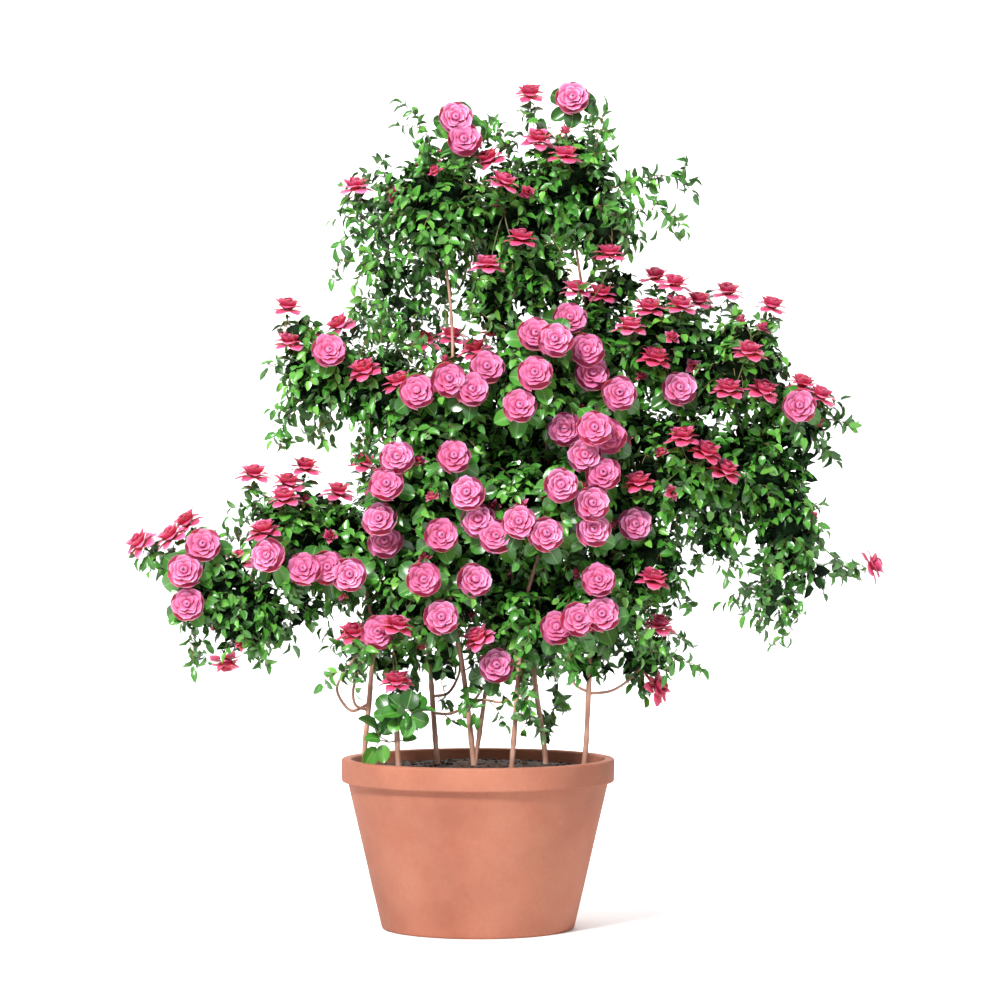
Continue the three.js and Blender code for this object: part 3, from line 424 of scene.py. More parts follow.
def place(px, py, depth):
    """The point at a pixel of the photograph and a depth."""
    return np.array([(px - AXIS_PX) * MM_PER_PIXEL, depth, POT_HEIGHT + (GROUND_PX - py) * MM_PER_PIXEL])


def places(points):
    """The points of a path that is given as pixels and depths."""
    return [place(*point) for point in points]


# Where everything is


class Lump:
    """A lump of foliage, as an ellipsoid out to its leaves' tips."""

    def __init__(self, px, py, depth, half_width, half_height, half_depth):
        self.centre = place(px, py, depth)
        self.spread = np.array([half_width * MM_PER_PIXEL, half_depth, half_height * MM_PER_PIXEL])

    def reach(self, points):
        """How far out points are, 1 being on the ellipsoid."""
        return np.linalg.norm((points - self.centre) / self.spread, axis=-1)

    def area(self):
        """Its surface, by Thomsen's formula for ellipsoids."""
        a, b, c = self.spread
        p = 1.6075
        return 4 * math.pi * (((a * b) ** p + (a * c) ** p + (b * c) ** p) / 3) ** (1 / p)


lumps = {name: [Lump(*lump) for lump in spec["lumps"]] for name, spec in FOLIAGE.items()}
all_lumps = [lump for group in lumps.values() for lump in group]


def lump_of(spec):
    """The lump that a truss stands on."""
    name, index = spec["lump"]
    return lumps[name][index]


def stem_paths(spec):
    """The paths of a cane's stems, the first one starting in the soil."""
    px, depth = spec["root"]
    foot = place(px, GROUND_PX, depth) * ROOT_LEAN
    foot[2] = POT_HEIGHT - SOIL_BELOW_RIM - ROOT_DEPTH
    rooted = [foot, place(px, GROUND_PX + UNDER_GROUND_PX, depth)]
    return [np.array(([] if index else rooted) + places(stem)) for index, stem in enumerate(spec["stems"])]


def cane_points():
    """Points along the canes and twigs, a little more than a radius apart."""
    points = []
    for spec in CANES.values():
        paths = [(path, CANE_RADIUS) for path in stem_paths(spec)]
        paths += [(places(twig), TWIG_RADIUS) for twig in spec["twigs"]]
        for path, radius in paths:
            for a, b in zip(path[:-1], path[1:]):
                count = math.ceil(np.linalg.norm(b - a) / (radius + CANE_POINT_GAP))
                points += [a + (b - a) * j / count for j in range(count + 1)]
    return np.array(points)


CANE_POINTS = cane_points()


class Bloom:
    """A rose with its centre, the axis that it faces along, two directions square to that, and its spin."""

    def __init__(self, truss, centre, axis, spin, sideways):
        self.truss, self.centre, self.axis, self.spin, self.sideways = truss, centre, axis, spin, sideways
        self.base = centre + BLOOM_BASE * axis
        self.side = unit(np.cross(axis, [0.2, 0.3, 0.9]))
        self.other = np.cross(axis, self.side)

    def ways(self, count, spread):
        """Directions about evenly round the axis. Each is drawn when its turn comes."""
        for k in range(count):
            turn = self.spin + TURN * (k + random.uniform(-spread, spread)) / count
            yield math.cos(turn) * self.side + math.sin(turn) * self.other


blooms = []


def clear_depth(point, side, margin):
    """Moves a point along the depth until it clears every lump's spread by margin."""
    for lump in all_lumps:
        across = (point[0] - lump.centre[0]) / (lump.spread[0] + margin)
        up = (point[2] - lump.centre[2]) / (lump.spread[2] + margin)
        rest = 1 - across * across - up * up
        if rest <= 0:
            continue
        limit = lump.centre[1] + side * (lump.spread[1] + margin) * math.sqrt(rest)
        if side * (limit - point[1]) > 0:
            point[1] = limit


def add_bloom(truss, centre, axis, side, sideways=False):
    """Sets a rose clear of the lumps, canes and earlier roses by moving it to the front or the back."""
    clear_depth(centre, side, SIDE_MARGIN if sideways else FACING_MARGIN)
    for _ in range(MOST_STEPS):
        worst = max(CANE_GAP - np.linalg.norm(CANE_POINTS - centre, axis=1).min(), 0)
        for other in blooms:
            gap = SAME_TRUSS_GAP if other.truss == truss else OTHER_TRUSS_GAP
            worst = max(worst, gap - np.linalg.norm(centre - other.centre))
        if worst <= 0:
            break
        centre[1] += side * min(worst + 1, LONGEST_STEP)
    blooms.append(Bloom(truss, centre, unit(axis), TURN * scatter(len(blooms)), sideways))


for truss_name, spec in TRUSSES.items():
    base = lump_of(spec)
    for px, py in spec.get("front", []):
        spot = place(px, py, base.centre[1] - START_DEPTH)
        aside = (spot[0] - base.centre[0]) / (base.spread[0] * CORE_SHARE)
        lean = 0.16 * aside + 0.2 * (scatter(px * 7 + py) - 0.5)
        rise = 0.3 + 0.24 * (scatter(px + py * 5) - 0.5)
        add_bloom(truss_name, spot, [lean, -1, rise], -1)
    for px, py in spec.get("back", []):
        lean = 0.5 * (scatter(px * 3 + py) - 0.5)
        add_bloom(truss_name, place(px, py, base.centre[1] + START_DEPTH), [lean, 1, 0.35], 1)
    for px, py, depth, leaning, tipping in spec.get("other", []):
        lean, tip = math.radians(leaning), math.radians(tipping)
        side = 1 if depth > base.centre[1] + BEHIND_DEPTH else -1
        axis = [math.sin(lean), -math.sin(tip), math.cos(lean)]
        add_bloom(truss_name, place(px, py, depth), axis, side, sideways=True)

BLOOM_CENTRES = np.array([b.centre for b in blooms])
BLOOM_AXES = np.array([b.axis for b in blooms])
BLOOM_BASES = np.array([b.base for b in blooms])

# Mesh making

MIDDLE_TONE = 0.5
UV_PER_MM = 0.01


class Gather:
    """Collects triangles with their coordinates, tones and materials, and makes one object of them."""

    def __init__(self):
        self.points, self.faces, self.uvs, self.tones, self.rims, self.kinds = [], [], [], [], [], []
        self.count = 0

    def add(self, points, faces, uvs, tones, rims=None, kinds=0):
        """points (n, 3), faces (m, 3), uvs (n, 2), tones (n) or a number, rims (n) as flags, and kinds, the
        places of the faces' materials, (m) or a number."""
        n, m = len(points), len(faces)
        self.points.append(np.asarray(points, float))
        self.faces.append(np.asarray(faces) + self.count)
        self.uvs.append(np.asarray(uvs, float))
        self.tones.append(np.broadcast_to(np.asarray(tones, float), (n,)))
        self.rims.append(np.zeros(n, bool) if rims is None else np.asarray(rims))
        self.kinds.append(np.broadcast_to(np.asarray(kinds), (m,)))
        self.count += n

    def make(self, name, materials, slot, nodes):
        """One smooth object, sharp along its rims, that rides on the root and replaces nodes."""
        points = np.concatenate(self.points) * METRES_PER_MM
        faces = np.concatenate(self.faces)
        mesh = bpy.data.meshes.new(name)
        mesh.vertices.add(len(points))
        mesh.vertices.foreach_set("co", points.ravel().astype(np.float32))
        mesh.loops.add(faces.size)
        mesh.loops.foreach_set("vertex_index", faces.ravel().astype(np.int32))
        mesh.polygons.add(len(faces))
        mesh.polygons.foreach_set("loop_start", np.arange(0, faces.size, 3, dtype=np.int32))
        mesh.polygons.foreach_set("material_index", np.concatenate(self.kinds).astype(np.int32))
        mesh.update(calc_edges=True)
        mesh.polygons.foreach_set("use_smooth", np.ones(len(faces), bool))
        uv = mesh.uv_layers.new(name="Blade")
        uv.uv.foreach_set("vector", np.concatenate(self.uvs)[faces.ravel()].ravel().astype(np.float32))
        tone = mesh.attributes.new("tone", "FLOAT", "POINT")
        tone.data.foreach_set("value", np.concatenate(self.tones).astype(np.float32))
        ends = np.empty(2 * len(mesh.edges), np.int32)
        mesh.edges.foreach_get("vertices", ends)
        rim = np.concatenate(self.rims)[ends.reshape(-1, 2)].all(axis=1)
        sharp = mesh.attributes.new("sharp_edge", "BOOLEAN", "EDGE")
        sharp.data.foreach_set("value", rim)
        for material in materials:
            mesh.materials.append(material)
        piece = bpy.data.objects.new(name, mesh)
        bpy.context.scene.collection.objects.link(piece)
        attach(piece, "root")
        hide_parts(*nodes)


class Blade:
    """A thin closed blade: a layer of triangles on rows of corners, and one below with its own inner corners.
    rows says how far along each row is, and counts how many corners it has, 1 at a point."""

    def __init__(self, counts, rows, inwards=False):
        starts = np.cumsum([0] + list(counts[:-1]))
        top = []
        for k in range(len(counts) - 1):
            a, b, na, nb = starts[k], starts[k + 1], counts[k], counts[k + 1]
            if na == 1:
                top += [(a, b + j + 1, b + j) for j in range(nb - 1)]
            elif nb == 1:
                top += [(a + j, a + j + 1, b) for j in range(na - 1)]
            else:
                for j in range(na - 1):
                    p, q, r, s = a + j, a + j + 1, b + j + 1, b + j
                    # A corner of the blade isn't a triangle of its own, because both layers would share it
                    at_corner = (k == 0 and j == na - 2) or (k == len(counts) - 2 and j == 0)
                    top += [(p, q, s), (q, r, s)] if at_corner else [(p, q, r), (p, r, s)]
        corners = []
        for k, count in enumerate(counts):
            corners += [(k, 2 * j / (count - 1) - 1 if count > 1 else 0.0) for j in range(count)]
        upper, below = len(corners), {}
        for k, count in enumerate(counts[1:-1], 1):
            for j in range(1, count - 1):
                below[starts[k] + j] = len(corners)
                corners.append(corners[starts[k] + j])
        faces = np.array(top + [tuple(below.get(c, c) for c in reversed(face)) for face in top])
        self.faces = faces[:, ::-1] if inwards else faces
        self.under = np.arange(len(faces)) >= len(top)
        self.inner = np.arange(len(corners)) >= upper
        self.rim = np.array([c < upper and c not in below for c in range(len(corners))])
        self.rows = np.array(rows)
        self.row, self.across = (np.array(column) for column in zip(*corners))
        self.along = self.rows[self.row]
        self.uvs = np.stack([0.5 + 0.5 * self.across, self.along], axis=1)

    def copies(self, gather, points, tones, kinds, uvs=None):
        """Adds copies of the blade with their corners (n, m, 3) and tones, and kinds for above and below."""
        n, m = points.shape[:2]
        faces = self.faces + (np.arange(n) * m)[:, None, None]
        uvs = np.tile(self.uvs, (n, 1)) if uvs is None else uvs
        tones = np.repeat(np.broadcast_to(tones, (n,)), m)
        kind = np.tile(np.where(self.under, kinds[1], kinds[0]), n)
        gather.add(points.reshape(-1, 3), faces.reshape(-1, 3), uvs, tones, np.tile(self.rim, n), kind)


def sides_along(paths):
    """Two directions square to paths (n, k, 3) at each of their points."""
    along = np.empty_like(paths)
    along[:, 1:-1] = paths[:, 2:] - paths[:, :-2]
    along[:, 0] = paths[:, 1] - paths[:, 0]
    along[:, -1] = paths[:, -1] - paths[:, -2]
    along = unit(along)
    across = np.empty_like(paths)
    now = np.broadcast_to(np.array([0.31, 0.9, 0.23]), along[:, 0].shape).copy()
    for k in range(paths.shape[1]):
        now = unit(now - along[:, k] * (now * along[:, k]).sum(-1, keepdims=True))
        across[:, k] = now
    return across, np.cross(along, across)


def add_tubes(gather, paths, radii, sides, tones=MIDDLE_TONE, kind=0):
    """Closed tubes along paths (n, k, 3) or one path (k, 3), with radii (k) or (n, k)."""
    paths = np.asarray(paths, float).reshape(-1, *np.shape(paths)[-2:])
    radii = np.broadcast_to(np.asarray(radii, float), paths.shape[:2])
    n, k, _ = paths.shape
    across, other = sides_along(paths)
    angle = TURN * np.arange(sides) / sides
    ring = across[:, :, None] * np.cos(angle)[:, None] + other[:, :, None] * np.sin(angle)[:, None]
    points = paths[:, :, None] + ring * radii[:, :, None, None]
    faces = []
    for r in range(k - 1):
        for s in range(sides):
            a, b = r * sides + s, r * sides + (s + 1) % sides
            faces += [(a, b, b + sides), (a, b + sides, a + sides)]
    last = (k - 1) * sides
    for s in range(1, sides - 1):
        faces += [(0, s + 1, s), (last, last + s, last + s + 1)]
    faces = (np.array(faces)[None] + (np.arange(n) * k * sides)[:, None, None]).reshape(-1, 3)
    step = np.linalg.norm(np.diff(paths, axis=1), axis=-1)
    length = np.concatenate([np.zeros((n, 1)), np.cumsum(step, axis=1)], axis=1)
    uvs = np.empty((n, k, sides, 2))
    uvs[..., 0] = np.arange(sides) / sides
    uvs[..., 1] = length[:, :, None] * UV_PER_MM
    tones = np.broadcast_to(np.asarray(tones, float).reshape(-1, 1), (n, k * sides)).ravel()
    gather.add(points.reshape(-1, 3), faces, uvs.reshape(-1, 2), tones, kinds=kind)


def smooth_path(points, step):
    """A smooth curve through points, with a corner about every step."""
    points = np.asarray(points, float)
    ends = np.concatenate([[2 * points[0] - points[1]], points, [2 * points[-1] - points[-2]]])
    path = []
    for a, b, c, d in zip(ends[:-3], ends[1:-2], ends[2:-1], ends[3:]):
        count = max(2, math.ceil(np.linalg.norm(c - b) / step))
        for t in np.arange(count) / count:
            curve = 2 * b + (c - a) * t + (2 * a - 5 * b + 4 * c - d) * t**2
            path.append(0.5 * (curve + (3 * b - a - 3 * c + d) * t**3))
    path.append(points[-1])
    return np.array(path)


def bezier(start, start_way, end, end_way):
    """A curve that leaves start and reaches end along the given directions."""
    t = np.linspace(0, 1, STALK_POINTS)[:, None]
    a, b = start + start_way, end - end_way
    return (1 - t) ** 3 * start + 3 * (1 - t) ** 2 * t * a + 3 * (1 - t) * t**2 * b + t**3 * end


# Leaves

LEAF = Blade([1, 3, 3, 3, 1], [0.0, 0.16, 0.48, 0.82, 1.0])
COARSE = Blade([1, 3, 3, 1], [0.0, 0.3, 0.72, 1.0])
BROAD = Blade([1, 5, 5, 5, 5, 1], [0.0, 0.1, 0.36, 0.7, 0.92, 1.0])
SEPAL = Blade([1, 3, 3, 1], [0.0, 0.3, 0.7, 1.0])
LEAF_THICKNESS = 0.018
SEPAL_THICKNESS = 0.03


def leaf_shape(blade, width, shape, fold, arch, bend, cup, thickness, blunt=0.8):
    """Corners of a leaf of length 1 along +Y, its upper face to +Z. A low shape is widest near its base."""
    v = blade.along
    half = width * np.maximum(np.sin(math.pi * v**shape), 0) ** blunt
    x = blade.across * half
    height = fold * np.abs(x) - cup * (1 - blade.across**2) * half - arch * v**2
    height = height + 0.3 * arch * v - blade.inner * thickness
    y = v * (1 - 0.35 * abs(arch) * v**2)
    return np.stack([x + bend * v**2, y, height], axis=1)


def leaf_variants(count, seed, blade, width, shape, folds, arches, blunt=0.8):
    """A kind of leaf: its blade, and shapes that fold, arch and bend in different ways."""
    draw = np.random.default_rng(seed)
    shapes = []
    for _ in range(count):
        fold, arch = draw.uniform(*folds), draw.uniform(*arches)
        bend, cup = draw.uniform(-0.12, 0.12), draw.uniform(-0.1, 0.25)
        broad = width * draw.uniform(0.9, 1.12)
        shapes.append(leaf_shape(blade, broad, shape, fold, arch, bend, cup, LEAF_THICKNESS, blunt))
    return blade, np.array(shapes)


LEAF_KINDS = {
    "small": leaf_variants(12, 3, LEAF, 0.31, 0.7, (0.25, 0.65), (0.05, 0.5)),
    "hanging": leaf_variants(8, 7, LEAF, 0.22, 0.74, (0.3, 0.8), (0.35, 0.8)),
    "deep": leaf_variants(6, 9, COARSE, 0.33, 0.7, (0.25, 0.65), (0.05, 0.5)),
    "broad": leaf_variants(8, 5, BROAD, 0.43, 0.9, (0.1, 0.45), (0.05, 0.45), 0.55),
}
SEPALS = np.array([
    leaf_shape(SEPAL, 0.16, 0.7, 0.2, arch, 0.0, 0.0, SEPAL_THICKNESS) for arch in (0.2, 0.5, 0.8)
])
LEAF_FACES = (0, 1)


def add_blades(gather, blade, shapes, base, along, up, size, tones, kinds):
    """Blades at their bases (n, 3), each along one direction with its upper face to another."""
    n = len(base)
    if not n:
        return
    y = unit(along)
    z = unit(up - y * (up * y).sum(-1, keepdims=True))
    x = np.cross(y, z)
    pick = shapes[np.arange(n) * 7 % len(shapes)]
    turned = pick[..., 0:1] * x[:, None] + pick[..., 1:2] * y[:, None] + pick[..., 2:3] * z[:, None]
    size = np.broadcast_to(np.asarray(size, float), (n,))[:, None, None]
    blade.copies(gather, base[:, None] + size * turned, tones, kinds)


# The room of a rose along its axis from its centre, and round the axis
ROSE_ROOM = (-24.0, 62.0)
ROSE_ROOM_RADIUS = 44.0
BOX_EXTRA = 8.0


def clear_of_roses(points, own=None):
    """Whether points are out of every rose and of the room in front of it. own has for each point a rose that
    doesn't count."""
    gap = points[:, None] - BLOOM_CENTRES[None]
    height = (gap * BLOOM_AXES[None]).sum(-1)
    aside = np.linalg.norm(gap - height[..., None] * BLOOM_AXES[None], axis=-1)
    inside = (height > ROSE_ROOM[0]) & (height < ROSE_ROOM[1]) & (aside < ROSE_ROOM_RADIUS)
    if own is not None:
        inside[np.arange(len(points)), own] = False
    return ~inside.any(axis=1)


def inside_box(points):
    """Whether points are in the solids' box, grown a little."""
    low = np.array(cad_bounds[0]) * MM_PER_METRE - BOX_EXTRA
    high = np.array(cad_bounds[1]) * MM_PER_METRE + BOX_EXTRA
    return ((points > low) & (points < high)).all(axis=1)


class Leaves:
    """Collects leaves of one kind before they are made into blades."""

    def __init__(self, kind):
        self.blade, self.shapes = LEAF_KINDS[kind]
        self.rows = []

    def add(self, base, along, up, size, tone):
        self.rows.append(np.concatenate([base, along, up, [size, tone]]))

    def put(self, gather, kinds=LEAF_FACES, behind=False):
        """Adds the leaves that are in the box and clear of the roses. With behind, a leaf may be near the
        rose whose base is nearest to it."""
        if not self.rows:
            return
        table = np.array(self.rows)
        base, along, up = table[:, 0:3], unit(table[:, 3:6]), table[:, 6:9]
        size, tone = table[:, 9], table[:, 10]
        own = None
        if behind:
            own = np.linalg.norm(base[:, None] - BLOOM_BASES[None], axis=2).argmin(axis=1)
        good = inside_box(base + along * size[:, None])
        for share in (0.4, 0.7, 1.0):
            good &= clear_of_roses(base + along * (share * size)[:, None], own)
        fit = base[good], along[good], up[good], size[good], tone[good]
        add_blades(gather, self.blade, self.shapes, *fit, kinds)


def wiggle(amount):
    """A random step in any direction."""
    return random.normal(0, amount, 3)


def leafy_twig(path, leaves, size, outward, step=15.5, first=0.12, last=True, droop=0.18, sickle=False):
    """Leaves on alternate sides of a twig's path and, with last, one at its tip. With sickle they stand above
    and below it. Returns the smooth path."""
    smooth = smooth_path(path, step)
    total = len(smooth) - 1
    hand = 1 if random.random() < 0.5 else -1
    for k in range(total + 1 if last else total):
        share = k / total
        if share < first and k < total:
            continue
        ahead = unit(smooth[min(k + 1, total)] - smooth[max(k - 1, 0)])
        if sickle:
            side = unit(UP - ahead * ahead[2] + wiggle(0.4))
        else:
            side = unit(np.cross(ahead, outward * 0.5 + UP * 0.6 + wiggle(0.25)))
        hand = -hand
        if k == total:
            along = ahead + wiggle(0.2) - UP * droop
        else:
            along = 0.55 * ahead + 0.85 * hand * side + wiggle(0.22) - UP * droop
        up = 0.8 * ahead + 0.3 * UP + wiggle(0.4) if sickle else 0.7 * outward + 0.6 * UP + wiggle(0.5)
        length = size * random.uniform(0.78, 1.15) * (1 - 0.18 * share)
        # A leaf's tone is partly random and partly painted shade: leaves further in along the twig are darker
        tone = np.clip(0.1 + 0.6 * random.random() + 0.3 * share, 0, 1)
        leaves.add(smooth[k], along, up, length, tone)
    return smooth


# Foliage

CORE = 0.6
FILL_CORE = 0.55
CORE_COLUMNS = 18
CORE_RINGS = 10
CORE_TONE = 0.1
TWIG_AREA = 2150.0
INNER_AREA = 1700.0
LEAF_SIZE = 39.0
INNER_LEAF = 50.0
SPRAY_LEAF = 50.0
LOW_SHOOT_LEAF = 40
TWIG_SIDES = 4
TWIG_RADII = (1.5, 0.8)
BASE_TWIG_RADII = (2.2, 1.3)
# Places of materials in a foliage piece, after those of LEAF_FACES
# The next is the near-black painted shade of the cores and inner leaves
PAINTED_SHADE_KIND = 2
TWIG_KIND = 3


def sphere_points(count, turn):
    """Directions spread evenly over a sphere."""
    k = np.arange(count) + 0.5
    z = 1 - 2 * k / count
    angle = k * math.pi * (3 - math.sqrt(5)) + turn
    flat = np.sqrt(1 - z * z)
    return np.stack([flat * np.cos(angle), flat * np.sin(angle), z], axis=1)


def core_mesh(gather, lump, share):
    """A dark sheet of painted shade inside a lump, uneven and well under its leaves."""
    columns, rings = CORE_COLUMNS, CORE_RINGS
    points, uvs = [], []
    for r in range(1, rings):
        for c in range(columns):
            polar, turn = math.pi * r / rings, TURN * c / columns
            spot = [math.sin(polar) * math.cos(turn), math.sin(polar) * math.sin(turn), math.cos(polar)]
            points.append(np.array(spot) * (1 - 0.16 * random.random()))
            uvs.append((c / columns, r / rings))
    top, bottom, low = len(points), len(points) + 1, (rings - 2) * columns
    points += [UP, -UP]
    uvs += [(0.5, 0), (0.5, 1)]
    faces = []
    for c in range(columns):
        n = (c + 1) % columns
        faces += [(top, c, n), (bottom, low + n, low + c)]
        for r in range(rings - 2):
            a, b = r * columns + c, r * columns + n
            faces += [(a, a + columns, b + columns), (a, b + columns, b)]
    points = np.array(points) * lump.spread * share + lump.centre
    gather.add(points, faces, uvs, CORE_TONE, kinds=PAINTED_SHADE_KIND)


def lump_twigs(lump, others, leaves, twigs):
    """Twigs from the inside of a lump out to its surface, with their leaves."""
    for direction in sphere_points(int(lump.area() / TWIG_AREA), random.uniform(0, 6)):
        direction = unit(direction + wiggle(0.12))
        outward = unit(direction / lump.spread)
        length = random.uniform(0.86, 1.02)
        if random.random() < 0.16:
            length = random.uniform(1.06, 1.2)
        end = lump.centre + lump.spread * direction * length + wiggle(6)
        start = lump.centre + lump.spread * direction * CORE * 0.95 + wiggle(6)
        if any(other.reach(end) < 0.78 for other in others):
            continue
        sag = UP * (-10.0 - 140.0 * max(0, length - 1)) * random.uniform(0.3, 1)
        middle = (start + end) / 2 + UP * 8 + wiggle(4)
        twigs.append(leafy_twig([start, middle, end + sag], leaves, LEAF_SIZE, outward))


def inner_leaves(lump, others, leaves):
    """Near-black leaves of painted shade that stand on a lump's core, under its outer ones."""
    for direction in sphere_points(int(lump.area() / INNER_AREA), random.uniform(0, 6)):
        direction = unit(direction + wiggle(0.1))
        outward = unit(direction / lump.spread)
        base = lump.centre + lump.spread * direction * CORE * 0.9
        if any(other.reach(base + outward * 20) < 0.7 for other in others):
            continue
        aside = unit(np.cross(outward, wiggle(1.0)))
        along, up = outward * 0.9 + aside * 0.6, outward * 0.3 + aside + UP * 0.5
        leaves.add(base, along, up, INNER_LEAF, 0.25 * random.random())


def add_twigs(gather, paths, thick, thin):
    """Thin round twigs, grouped by their number of points."""
    by_count = {}
    for path in paths:
        by_count.setdefault(len(path), []).append(path)
    for count, group in by_count.items():
        tones = random.uniform(0.2, 0.8, len(group))
        add_tubes(gather, group, np.linspace(thick, thin, count), TWIG_SIDES, tones, TWIG_KIND)


# Broad leaves of the shoot at the base, as base and tip in the photograph, and their depths
BASE_LEAVES = [
    [379, 901, 363, 884, -168, -186], [383, 911, 367, 905, -172, -190], [378, 917, 367, 936, -172, -180],
    [384, 915, 388, 933, -172, -184], [391, 882, 378, 868, -140, -120], [402, 883, 384, 884, -160, -196],
    [404, 881, 391, 866, -152, -160], [408, 881, 416, 861, -150, -146], [414, 885, 438, 876, -160, -176],
    [413, 888, 432, 896, -158, -160], [411, 889, 406, 908, -160, -186], [397, 888, 387, 907, -156, -184],
    [390, 885, 375, 889, -148, -150], [386, 892, 380, 908, -150, -164], [404, 912, 419, 908, -152, -150],
    [412, 884, 427, 866, -146, -120], [398, 884, 404, 866, -140, -112], [380, 904, 390, 893, -166, -140],
    [404, 890, 420, 903, -140, -118], [404, 884, 409, 898, -158, -186], [401, 890, 396, 903, -150, -186],
    [408, 886, 399, 875, -158, -180],
]
BASE_TWIGS = [
    [[400, 900, -146], [405, 892, -154], [409, 882, -152], [414, 885, -160]],
    [[400, 911, -148], [391, 913, -160], [383, 911, -172], [378, 917, -172]],
    [[390, 912, -160], [382, 907, -170], [379, 901, -168]],
    [[398, 886, -146], [391, 883, -142], [386, 892, -150]],
    [[398, 888, -146], [403, 882, -156], [404, 881, -152]],
    [[400, 911, -148], [404, 912, -152]],
]
# Small leafy shoots on the thin twigs low on the plant
LOW_SHOOTS = {
    "low_middle": [
        [[437, 873, 58], [447, 881, 50], [457, 884, 46]],
        [[443, 889, 40], [451, 897, 34], [462, 894, 30]],
        [[440, 857, 56], [444, 867, 50], [446, 876, 48]],
        [[490, 876, -60], [498, 885, -64], [505, 899, -64]],
        [[496, 856, -60], [500, 866, -62], [508, 873, -64]],
    ],
}

# Small lumps of leaves in the gaps among the large ones, in the same way as those, each with a core of painted
# shade
FILLS = {
    "centre_upper": [[492, 640, 30, 22, 34, 70], [484, 562, 30, 20, 30, 70], [509, 507, 10, 13, 18, 45]],
    "centre": [[476, 730, 30, 24, 30, 70], [618, 702, 30, 22, 30, 70], [512, 752, 30, 40, 18, 70],
               [548, 746, 30, 18, 24, 60]],
    "centre_right": [[590, 655, 40, 36, 24, 70], [514, 610, 30, 22, 30, 60], [548, 626, 40, 18, 22, 60]],
    "top_left": [[490, 470, 10, 24, 26, 60], [388, 448, 0, 16, 13, 42], [406, 489, 0, 11, 12, 36]],
    "top_right": [[612, 468, 10, 30, 18, 60]],
    "left": [[298, 508, 0, 24, 16, 50]],
    "low_left": [[388, 838, -20, 13, 13, 38], [442, 836, 0, 12, 11, 38]],
    "right_upper": [[708, 562, 20, 22, 20, 60]],
    "right_lower": [[640, 674, 20, 24, 20, 60], [718, 708, 0, 16, 18, 50], [775, 777, 0, 15, 9, 36],
                    [811, 752, 0, 9, 11, 34], [800, 645, 10, 8, 17, 40]],
    "left_arm": [[318, 690, 20, 32, 18, 50], [306, 785, 0, 15, 9, 38]],
    "low_middle": [[648, 838, -10, 20, 18, 50], [592, 841, -10, 17, 9, 38]],
}


def spray_path(points, name):
    """A shoot's path from the nearest lump of its node, and that lump."""
    home = lumps[name][0].centre[1]
    bends = [place(px, py, home + SWING * (depth - home)) for px, py, depth in points]
    lump = min(lumps[name], key=lambda one: one.reach(bends[0]))
    start = lump.centre + (bends[0] - lump.centre) * min(0.75, 0.8 / lump.reach(bends[0]))
    return [start] + bends, lump


def add_spray(points, name, hanging, twigs):
    """A long leafy shoot with short leafy side twigs."""
    path, lump = spray_path(points, name)
    outward = unit(path[-1] - lump.centre)
    smooth = leafy_twig(path, hanging, SPRAY_LEAF, outward, step=13, droop=0.2, sickle=True)
    twigs.append(smooth)
    for k in range(2, len(smooth) - 1, 2):
        aside = unit(outward * 0.4 + wiggle(0.8))
        end = smooth[k] + aside * random.uniform(35, 80)
        side_twig = [smooth[k], (smooth[k] + end) / 2 + UP * 4, end]
        short = leafy_twig(side_twig, hanging, 0.9 * SPRAY_LEAF, aside, step=14, droop=0.2, sickle=True)
        twigs.append(short)


def add_base_shoot(broad, twigs):
    """The shoot at the base, whose broad leaves are placed one by one."""
    for bx, by, tx, ty, near, far in BASE_LEAVES:
        root, tip = place(bx, by, near), place(tx, ty, far)
        up = np.array([0, -0.7, 0.7]) + wiggle(0.5)
        broad.add(root, tip - root, up, np.linalg.norm(tip - root), 0.9 * random.random())
    twigs += [smooth_path(places(points), 8) for points in BASE_TWIGS]


def foliage(name, spec, materials):
    """The leaves of a foliage node, on its lumps and along its shoots."""
    gather, twigs = Gather(), []
    leaves, hanging, broad, deep = (Leaves(kind) for kind in ("small", "hanging", "broad", "deep"))

    def grow(lump, core):
        others = [other for other in all_lumps if other is not lump]
        core_mesh(gather, lump, core)
        inner_leaves(lump, others, deep)
        lump_twigs(lump, others, leaves, twigs)

    base_shoot = name == "base_shoot"
    if base_shoot:
        add_base_shoot(broad, twigs)
    else:
        for lump in lumps[name]:
            grow(lump, CORE)
    for points in LOW_SHOOTS.get(name, []):
        path = places(points)
        twigs.append(leafy_twig(path, leaves, LOW_SHOOT_LEAF, unit(path[-1] - path[0]), step=15, first=0.2))
    for points in spec["sprays"]:
        add_spray(points, name, hanging, twigs)
    for fill in FILLS.get(name, []):
        grow(Lump(*fill), FILL_CORE)
    for kind in (leaves, hanging, broad):
        kind.put(gather)
    # The inner leaves are near-black painted shade, like the cores
    deep.put(gather, (PAINTED_SHADE_KIND, PAINTED_SHADE_KIND))
    add_twigs(gather, twigs, *(BASE_TWIG_RADII if base_shoot else TWIG_RADII))
    gather.make("leaves_" + name, materials, "leaf", ["foliage_" + name])


# Roses

PETAL = Blade([5, 5, 5, 5, 5], [0.0, 0.4, 0.74, 0.92, 1.0], inwards=True)
BUD_PETAL = Blade([3, 3, 3, 3], [0.0, 0.5, 0.85, 1.0], inwards=True)
PETAL_THICKNESS = 0.7
